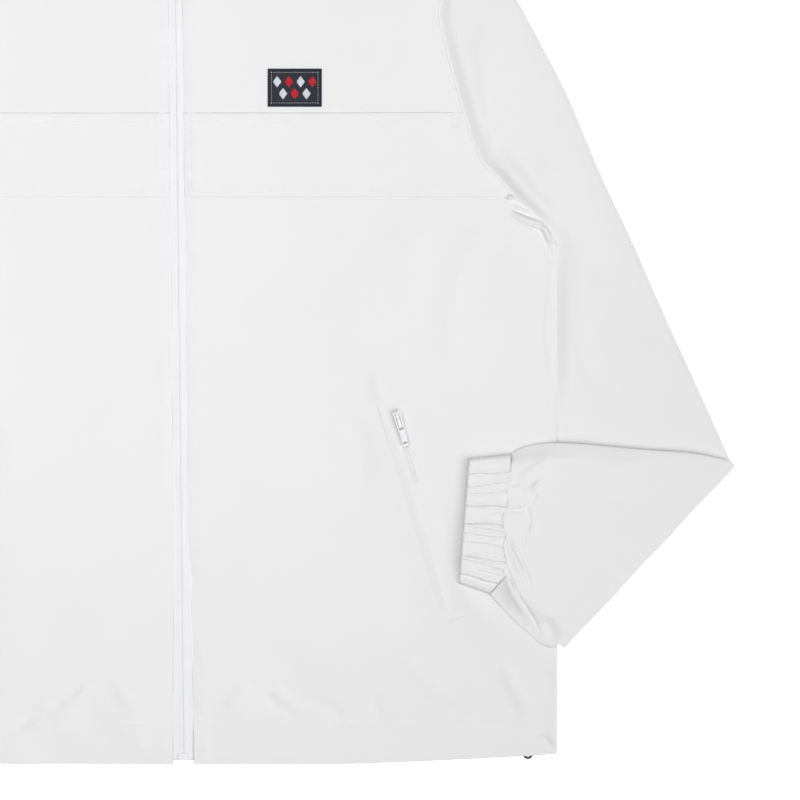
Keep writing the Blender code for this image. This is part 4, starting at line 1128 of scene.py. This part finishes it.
def makeFrontZip():
    ups = stations(2, 652, 2.1)
    for word, side in sides:
        offsets = np.concatenate([[0, 0.45, 0.8, 1.2, 1.6, 2.0, 2.4, 2.8], np.arange(3.3, 11.1, 0.7)])
        up, offset = np.meshgrid(ups, offsets, indexing="ij")
        x = side * zipLine(up) + offset
        makePanel("zipTape" + word.title(), (x, up, tapeTop(side * offset, up)), side, zipTape, "zip_tape_" + word,
                  side < 0, material=tapeCloth, slotName="zip_tape")
    lines = []
    for offset in (-zipTape["coilAt"], zipTape["coilAt"], -0.62, 0.62):
        rows = np.arange(3.0, 651, 3.0)
        offsets = np.full(rows.shape, offset)
        sink = 0.02 if abs(offset) > 1 else 0.0
        lines.append(worldPoints(zipLine(rows) + offset, rows, tapeTop(offsets, rows) - sink, 1))
    makeStitches("zipChainStitching", lines, tapeThread, "zip_tape", "zip_chain", pitch=zipTape["ribPitch"],
                 length=1.15, thickness=0.34, turn=0.35, uneven=0.03, seed=3)


tapeThread = clothMaterial("zipTapeThread", (0.82, 0.82, 0.838), 0.6, 0.0004, 0.00005, 0.01, 0.00003,
                           Specular_IOR_Level=0.35)
makeFrontZip()


# flat moulded shape from outlines in millimetres, the first one outside and the rest holes
def mouldedShape(name, outlines, bottom, top, rounding):
    curve = bpy.data.curves.new(name, "CURVE")
    curve.dimensions = "2D"
    curve.fill_mode = "BOTH"
    curve.extrude = ((top - bottom) / 2 - rounding) * mm
    curve.bevel_depth = rounding * mm
    curve.bevel_resolution = 2
    curve.offset = -rounding * mm
    for points in outlines:
        spline = curve.splines.new("POLY")
        spline.points.add(len(points) - 1)
        for point, (x, y) in zip(spline.points, points):
            point.co = (x * mm, y * mm, 0, 1)
        spline.use_cyclic_u = True
    piece = makePlain(addObject(name, curve))
    for vertex in piece.data.vertices:
        vertex.co.z += (bottom + top) / 2 * mm
    return piece


# closed outline with rounded corners from (x, y, radius)
def roundedOutline(corners, steps=5):
    points = []
    count = len(corners)
    for i, (x, y, radius) in enumerate(corners):
        here = np.array([x, y], float)
        before = np.array(corners[i - 1][:2], float) - here
        after = np.array(corners[(i + 1) % count][:2], float) - here
        before, after = before / np.hypot(*before), after / np.hypot(*after)
        for share in np.linspace(0, 1, steps + 1):
            a, b = here + before * radius, here + after * radius
            points.append(tuple((1 - share) ** 2 * a + 2 * share * (1 - share) * here + share ** 2 * b))
    return points


# rectangle with rounded corners; a hole runs the other way round
def roundedBox(left, right, top, bottom, radius, hole=False):
    corners = [(left, top, radius), (right, top, radius), (right, bottom, radius), (left, bottom, radius)]
    return roundedOutline(corners[:1] + corners[:0:-1] if hole else corners)


# several meshes made one, cleaned of doubles, then tilted, turned and moved to its place
def joinMeshes(name, pieces, turn, place, tilt=0.0):
    merged = bmesh.new()
    for piece in pieces:
        merged.from_mesh(piece.data)
        bpy.data.objects.remove(piece)
    bmesh.ops.remove_doubles(merged, verts=merged.verts, dist=0.000005)
    bmesh.ops.recalc_face_normals(merged, faces=merged.faces)
    mesh = bpy.data.meshes.new(name)
    merged.to_mesh(mesh)
    merged.free()
    cosTilt, sinTilt = math.cos(tilt), math.sin(tilt)
    cosTurn, sinTurn = math.cos(turn), math.sin(turn)
    for vertex in mesh.vertices:
        x, y, z = vertex.co
        y, z = y * cosTilt - z * sinTilt, y * sinTilt + z * cosTilt
        vertex.co = (x * cosTurn - y * sinTurn + place[0], x * sinTurn + y * cosTurn + place[1], z + place[2])
    mesh.polygons.foreach_set("use_smooth", [True] * len(mesh.polygons))
    mesh.set_sharp_from_angle(angle=math.radians(50))
    return addObject(name, mesh)


slider = {"axisHigh": 2.8}
pullTab = {"length": 24, "width": 5.6, "thick": 1.2, "windowHalf": 1.75, "windowEnd": -11.0, "droop": math.radians(5)}


# slider seen from above: shouldered plate, tail and the arch that traps the pull; its foot is at z 0
def sliderPieces(name, foot):
    plate = roundedOutline([(-3.7, 1.2, 1.2), (-3.4, 4.3, 1.5), (-0.9, 4.4, 0.8), (0, 3.3, 0.5), (0.9, 4.4, 0.8),
                            (3.4, 4.3, 1.5), (3.7, 1.2, 1.2), (2.9, -4.4, 1.2), (2.2, -9.4, 1.0), (-2.2, -9.4, 1.0),
                            (-2.9, -4.4, 1.2)])
    lower = mouldedShape(name + "Plate", [plate], foot, 0.75, 0.18)
    inner = [(x * 0.86, y * 0.9 - 0.1) for x, y in plate]
    upper = mouldedShape(name + "Top", [inner], 0.6, 1.6, 0.28)
    cap = mouldedShape(name + "Cap", [roundedOutline([(-1.0, 3.3, 0.8), (1.0, 3.3, 0.8), (1.1, -9.0, 0.9),
                                                      (-1.1, -9.0, 0.9)])], 4.0, 5.0, 0.3)
    for vertex in cap.data.vertices:                      # the arch slopes down to the tail
        run = vertex.co.y / mm
        vertex.co.z -= 1.5 * mm * float(smooth((-1.5 - run) / 7.5)) + 0.5 * mm * float(smooth((run - 1.5) / 2))
    frontPost = mouldedShape(name + "Post", [roundedBox(-0.9, 0.9, 3.1, 1.9, 0.3)], 1.4, 4.3, 0.12)
    backPost = mouldedShape(name + "Back", [roundedOutline([(-0.9, -2.1, 0.3), (0.9, -2.1, 0.3), (0.95, -8.6, 0.4),
                                                            (-0.95, -8.6, 0.4)])], 1.4, 3.1, 0.12)
    return [lower, upper, cap, frontPost, backPost]


def pullPieces(name):
    half, length = pullTab["width"] / 2, pullTab["length"]
    outside = roundedOutline([(-half, 0.6, 0.7), (half, 0.6, 0.7), (half, -8, 2.0), (half * 0.78, -13, 2.0),
                              (half * 0.92, -length, 1.6), (-half * 0.92, -length, 1.6), (-half * 0.78, -13, 2.0),
                              (-half, -8, 2.0)])
    w = pullTab["windowHalf"]
    window = roundedOutline([(-w, -0.7, 0.3), (-w, pullTab["windowEnd"], 1.0), (w, pullTab["windowEnd"], 1.0),
                             (w, -0.7, 0.3)])
    slot = roundedBox(-1.9, 1.9, -20.6, -21.9, 0.3, hole=True)
    tab = mouldedShape(name + "Tab", [outside, window, slot], -pullTab["thick"] / 2, pullTab["thick"] / 2, 0.22)
    ribs = [mouldedShape(name + "Rib", [roundedBox(-1.7, 1.7, y + 0.45, y - 0.45, 0.4)], 0.4, 0.86, 0.15)
            for y in (-14.6, -16.4, -18.2)]
    return [tab] + ribs


# hinge of each pull, in the CAD's own place
hinges = {joint["child"]: joint for joint in frame["record"]["behaviour"]["joints"]}


def makeSliderAndPull(name, sliderNode, pullNode, pullBody, angle, foot):
    x, y, z = hinges[pullBody]["pos_m"]
    base = z - slider["axisHigh"] * mm
    made = joinMeshes(name + "Slider", sliderPieces(name, foot), angle, (x, y, base))
    assign(made, zipPlastic, "garment", "zip_plastic", sliderNode)
    pull = joinMeshes(name + "Pull", pullPieces(name), angle, (x, y, z), pullTab["droop"])
    assign(pull, zipPlastic, pullBody, "zip_plastic", pullNode)


makeSliderAndPull("frontZip", "zip_slider", "zip_pull", "front_zip_pull", 0.0, -0.35)


def makeZipBox():
    up = 4.6                                    # middle of the box
    foot = mouldedShape("boxFoot", [roundedBox(-4.3, 4.3, 2.6, -2.6, 0.8)], 0, 1.0, 0.25)
    rim = mouldedShape("boxRim", [roundedBox(-3.9, 3.9, 2.2, -2.2, 0.7),
                                  roundedBox(-2.6, -0.9, 1.0, -1.4, 0.3, hole=True),
                                  roundedBox(1.4, 2.4, 1.0, -1.4, 0.3, hole=True)], 0.9, 1.4, 0.15)
    z = float(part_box("zip_box")[0][2])
    place = worldPoints(zipLine(up), up, 0.0, 1)
    box = joinMeshes("zipBox", [foot, rim], 0.0, (place[0], place[1], z))
    assign(box, zipPlastic, "garment", "zip_plastic", "zip_box")


makeZipBox()
print("front zip made")


pocket = {
    "flat": (0.036, 0.185), "area": 0.0042, "held": "laid",
    "top": (167.1, 273.3), "foot": (213.7, 112.4),
    "crest": 1.05, "floor": 0.4, "sunk": 0.28, "rise": 10.5, "fall": 1.3, "lip": 0.3,
    "above": 7.5, "below": 6.5,              # how far the welt's cloth runs past the pocket's two ends
    "innerReach": 14.5, "outerReach": 13.8,
    "tackStitches": 13, "tackDown": 1.5, "tackFrom": -6.2, "tackHigh": 0.22,
    "marks": [(453, 591), (455, 600), (457, 610)],       # small marks seen below the tack
    # distance down the pocket, then the crest's and the gap's right edge from its middle line
    "left": [(-8, 10.8), (0, 10.2), (16, 8.0), (27, 6.7), (45, 5.6), (62, 5.1), (87, 5.0), (109, 4.5), (143, 4.2),
             (175, 4.0)],
    "right": [(-8, 5.0), (0, 6.2), (10, 7.0), (22, 7.9), (30, 7.6), (45, 4.6), (60, -0.6), (70, -3.0), (175, -3.4)],
}


def pocketFrame():
    top, foot = np.array(pocket["top"]), np.array(pocket["foot"])
    length = float(np.hypot(*(foot - top)))
    along = (foot - top) / length
    return top, along, np.array([-along[1], along[0]]), length


def pocketPlace(down, across):
    top, along, out = pocketFrame()[:3]
    return top[0] + along[0] * down + out[0] * across, top[1] + along[1] * down + out[1] * across


# welt's height over the front: a slow rise to the ridge, a quick fall, then the gap that holds the zip
def pocketHeight(down, across):
    left, right = -curveAt(pocket["left"], down), curveAt(pocket["right"], down)
    past = across - left
    rise = smooth((past + pocket["rise"]) / pocket["rise"])
    fall = 1 - 0.62 * smooth(past / pocket["fall"]) - 0.38 * smooth((past - pocket["fall"]) / 11)
    outer = 1 - smooth((across - np.maximum(right, 2.0)) / 5.5)
    high = pocket["crest"] * rise * fall * outer
    gap = smooth((past - 1.6) / 1.6) * (1 - smooth((across - right + 2.2) / 2.2))
    lipRight = pocket["lip"] * np.exp(-((across - right) / 1.5) ** 2) * smooth((right + 1) / 3)
    high = mix(high, pocket["floor"], gap * 0.9) + lipRight
    length = pocketFrame()[3]
    ends = smooth((down + 7) / 6) * smooth((length + 4 - down) / 24)
    ripple = 0.14 * noiseAt(down, across * 0.4, 8, 61) * rise
    return high * ends + ripple * ends


def makePocket(word, side):
    length = pocketFrame()[3]
    downs = stations(-pocket["above"], length + pocket["below"], 1.6)
    acrosses = np.concatenate([np.arange(-pocket["innerReach"], -2, 0.42), np.arange(-2, 14.2, 0.62)])
    down, across = np.meshgrid(downs, acrosses, indexing="ij")
    x, up = pocketPlace(down, across)
    rim = smooth(np.minimum(across + pocket["innerReach"], pocket["outerReach"] - across) / 2.4)
    rim = rim * smooth((down + pocket["above"]) / 2) * smooth((length + pocket["below"] - down) / 2)
    z = frontDetail(x, up, side) + pocketHeight(down, across) * rim - pocket["sunk"]
    makePanel("pocketWelt" + word.title(), (x, up, z), side, pocket, "pocket_welt_" + word,
              side > 0)
    # closed coil in the gap, and the bar tack at the foot
    lines = []
    for across in (-1.3, 1.3):
        rows = np.arange(1.0, 60, 2.0)
        x, up = pocketPlace(rows, across)
        z = frontDetail(x, up, side) + pocketHeight(rows, np.full(rows.shape, across)) - 0.05
        lines.append(worldPoints(x, up, z, side))
    makeStitches("pocketZip" + word.title(), lines, tapeThread, "zip_tape", "pocket_zip_" + word, pitch=1.25,
                 length=2.4, thickness=0.7, turn=math.pi / 2, uneven=0.02, seed=5)
    lines = []
    for step in range(pocket["tackStitches"]):
        down, away = length + pocket["tackDown"] + 0.4 * (step % 2), pocket["tackFrom"] + step
        points = [pocketPlace(down - 0.9, away), pocketPlace(down + 0.9, away + 0.4)]
        rows = np.array(points)
        z = frontDetail(rows[:, 0], rows[:, 1], side) + pocket["tackHigh"]
        z = z + pocketHeight(np.array([down, down]), np.array([away, away]))
        lines.append(worldPoints(rows[:, 0], rows[:, 1], z, side))
    for markX, markUp in splineRows(seen(*pocket["marks"]), 6):
        rows = np.array([(markX - 0.5, markUp), (markX + 0.5, markUp)])
        lines.append(worldPoints(rows[:, 0], rows[:, 1], frontDetail(rows[:, 0], rows[:, 1], side) + 0.05, side))
    makeStitches("barTack" + word.title(), lines, threadMaterial, "shell_cloth", pitch=0.62, length=1.1,
                 thickness=0.5, seed=7)
    along = pocketFrame()[1]
    angle = side * math.atan2(along[0], -along[1])
    makeSliderAndPull("pocket" + word.title(), "pocket_slider_" + word, "pocket_pull_" + word,
                      word + "_pocket_pull", angle, -0.7)


for word, side in sides:
    makePocket(word, side)
print("pockets made")


patch = {"centre": (90.1, 519), "size": (41.6, 29.3), "area": 0.0012, "high": 0.95, "wall": 0.7,
         "lozengeHalf": 3.1, "lozengeTall": 4.0, "satinStep": 0.32,
         "places": [(-13.5, 4.6), (-4.5, 4.6), (4.5, 4.6), (13.5, 4.6), (-9, -4.6), (0, -4.6), (9, -4.6)]}
patchGround = clothMaterial("patchTwill", (0.030, 0.032, 0.045), 0.78, 0.0006, 0.00012, 0.25, 0.00006,
                            Specular_IOR_Level=0.25)
patchBorder = clothMaterial("patchBorderThread", (0.024, 0.026, 0.040), 0.6, 0.0004, 0.00008, 0.2, 0.00004,
                            Specular_IOR_Level=0.35)
patchRed = clothMaterial("patchRedThread", (0.62, 0.012, 0.03), 0.5, 0.00035, 0.00010, 0.12, 0.00004,
                         Specular_IOR_Level=0.4)
patchWhite = clothMaterial("patchWhiteThread", (0.74, 0.76, 0.82), 0.5, 0.00035, 0.00010, 0.05, 0.00004,
                           Specular_IOR_Level=0.4)


# lines of a frame inside the patch's edge
def patchFrameLines(inset, high, count):
    corners = [(-1, -1), (1, -1), (1, 1), (-1, 1), (-1, -1)]
    share = np.linspace(0, 1, count)
    lines = []
    for (ax, ay), (bx, by) in zip(corners, corners[1:]):
        x = patch["centre"][0] + mix(ax, bx, share) * (patch["size"][0] / 2 - inset)
        up = patch["centre"][1] + mix(ay, by, share) * (patch["size"][1] / 2 - inset)
        lines.append(worldPoints(x, up, np.full(count, high), 1))
    return lines


def makePatch():
    width, height = patch["size"]
    centreX, centreUp = patch["centre"]
    ground = float(frontDetail(np.array([centreX]), np.array([float(centreUp)]), 1)[0])
    bottom = ground + 0.1
    y, x = np.meshgrid(np.linspace(-1, 1, 44), np.linspace(-1, 1, 60), indexing="ij")
    away = np.minimum((1 - np.abs(x)) * width / 2, (1 - np.abs(y)) * height / 2)
    worldX, worldUp = centreX + x * width / 2, centreUp + y * height / 2
    z = bottom + patch["high"] * (0.35 + 0.65 * smooth(away / 0.9)) + 0.05 * noiseAt(worldX, worldUp, 5, 71)
    piece = gridObject("chestPatch", worldPoints(worldX, worldUp, z, 1), np.stack([worldX, worldUp], axis=-1) * mm)
    makePlain(giveWall(piece, patch["wall"]))
    assign(piece, patchGround, "garment", "woven_patch", "chest_patch")
    top = bottom + patch["high"]
    # overlocked border
    makeStitches("patchBorder", patchFrameLines(0.75, top + 0.05, 40), patchBorder, "woven_patch",
                 pitch=0.5, length=1.6, thickness=0.55, turn=math.pi / 2 - 0.25, uneven=0.05, seed=11)
    # staggered lozenges worked in satin stitch, alternately white and red
    share = np.linspace(-1, 1, 9)
    for name, material, first in (("patchWhiteLozenges", patchWhite, 0), ("patchRedLozenges", patchRed, 1)):
        lines = []
        for offX, offY in patch["places"][first::2]:
            for step in np.arange(-2.9, 2.95, patch["satinStep"]):
                half = patch["lozengeTall"] * (1 - abs(step) / patch["lozengeHalf"])
                if half < 0.3:
                    continue
                px = centreX + offX + step + 0 * share
                py = centreUp + offY + share * half
                pz = top + 0.05 + 0.38 * (1 - (share * 0.9) ** 2) * (0.5 + 0.5 * half / 4)
                lines.append(worldPoints(px, py, pz, 1))
        makeStitches(name, lines, material, "woven_patch", pitch=0.5, length=1.0, thickness=0.42, seed=13)
    # thin running frame
    makeStitches("patchFrame", patchFrameLines(2.9, top + 0.12, 30), patchWhite, "woven_patch",
                 pitch=1.9, length=1.25, thickness=0.4, seed=17)


makePatch()
print("patch made")


hemCord = {"radius": 0.9, "x": 269.5, "half": 3.6, "footUp": 2.6}
cordMaterial = clothMaterial("elasticCord", (0.035, 0.035, 0.04), 0.75, 0.0006, 0.0002, 0.3, 0.00005)


def makeHemCord(word, side):
    radius = hemCord["radius"]
    startUp = float(hemUp(np.array([hemCord["x"]]))[0]) + body["backHemShorter"] + 2.0
    curve = bpy.data.curves.new("hemCord" + word.title(), "CURVE")
    curve.dimensions = "3D"
    curve.bevel_depth = radius * mm
    curve.bevel_resolution = 5
    curve.use_fill_caps = True
    spline = curve.splines.new("POLY")
    turns = np.linspace(0, math.pi, 28)
    spline.points.add(len(turns) - 1)
    for point, turn in zip(spline.points, turns):
        x = hemCord["x"] - hemCord["half"] * math.cos(turn) * (1 + 0.12 * math.sin(turn))
        up = mix(startUp, hemCord["footUp"] + radius, math.sin(turn) ** 0.8)
        point.co = (*worldPoints(x, up, radius + 0.2, side), 1)
    piece = makePlain(addObject("hemCord" + word.title(), curve))
    mapFromAbove(piece.data)
    assign(piece, cordMaterial, "garment", "elastic_cord", "hem_cord_" + word)


for word, side in sides:
    makeHemCord(word, side)
print("hem cords made")


studio = {
    "viewWidth": 0.616, "viewCentre": (0.171, -0.085), "viewHeight": 2.6,
    "world": 0.19, "floorGlow": 0.6, "floorHalf": 14.0, "floorZ": -0.0004,
    "key": 1.24, "keyFrom": (0.66, -0.34, 0.95), "keyAngle": 42,
    "over": 12.7, "overSize": 1.3, "overPlace": (-0.13, 0.1, 1.25),
}


def makeStudio():
    mesh = bpy.data.meshes.new("floor")
    half = studio["floorHalf"]
    corners = ((-half, -half), (half, -half), (half, half), (-half, half))
    mesh.from_pydata([(x, y, studio["floorZ"]) for x, y in corners], [], [(0, 1, 2, 3)])
    floor = addObject("floor", mesh)
    mesh.materials.append(newMaterial("paleFloor", (0.95, 0.95, 0.95), 0.9, Emission_Color=(1, 1, 1, 1),
                                      Emission_Strength=studio["floorGlow"])[0])
    world = bpy.data.worlds.new("softRoom")
    world.use_nodes = True
    sky = world.node_tree.nodes["Background"]
    sky.inputs["Color"].default_value = (1, 1, 1, 1)
    sky.inputs["Strength"].default_value = studio["world"]
    bpy.context.scene.world = world
    sun = bpy.data.lights.new("keyLight", "SUN")
    sun.energy = studio["key"]
    sun.angle = math.radians(studio["keyAngle"])
    addObject("keyLight", sun).rotation_euler = Vector(studio["keyFrom"]).to_track_quat("Z", "Y").to_euler()
    over = bpy.data.lights.new("overLight", "AREA")
    over.energy = studio["over"]
    over.size = studio["overSize"]
    addObject("overLight", over).location = studio["overPlace"]
    camera = bpy.data.cameras.new("camera")
    camera.angle = 2 * math.atan(studio["viewWidth"] / 2 / studio["viewHeight"])
    eye = addObject("camera", camera)
    eye.location = (*studio["viewCentre"], studio["viewHeight"])
    bpy.context.scene.camera = eye
    bpy.context.scene.view_settings.view_transform = "Standard"


makeStudio()
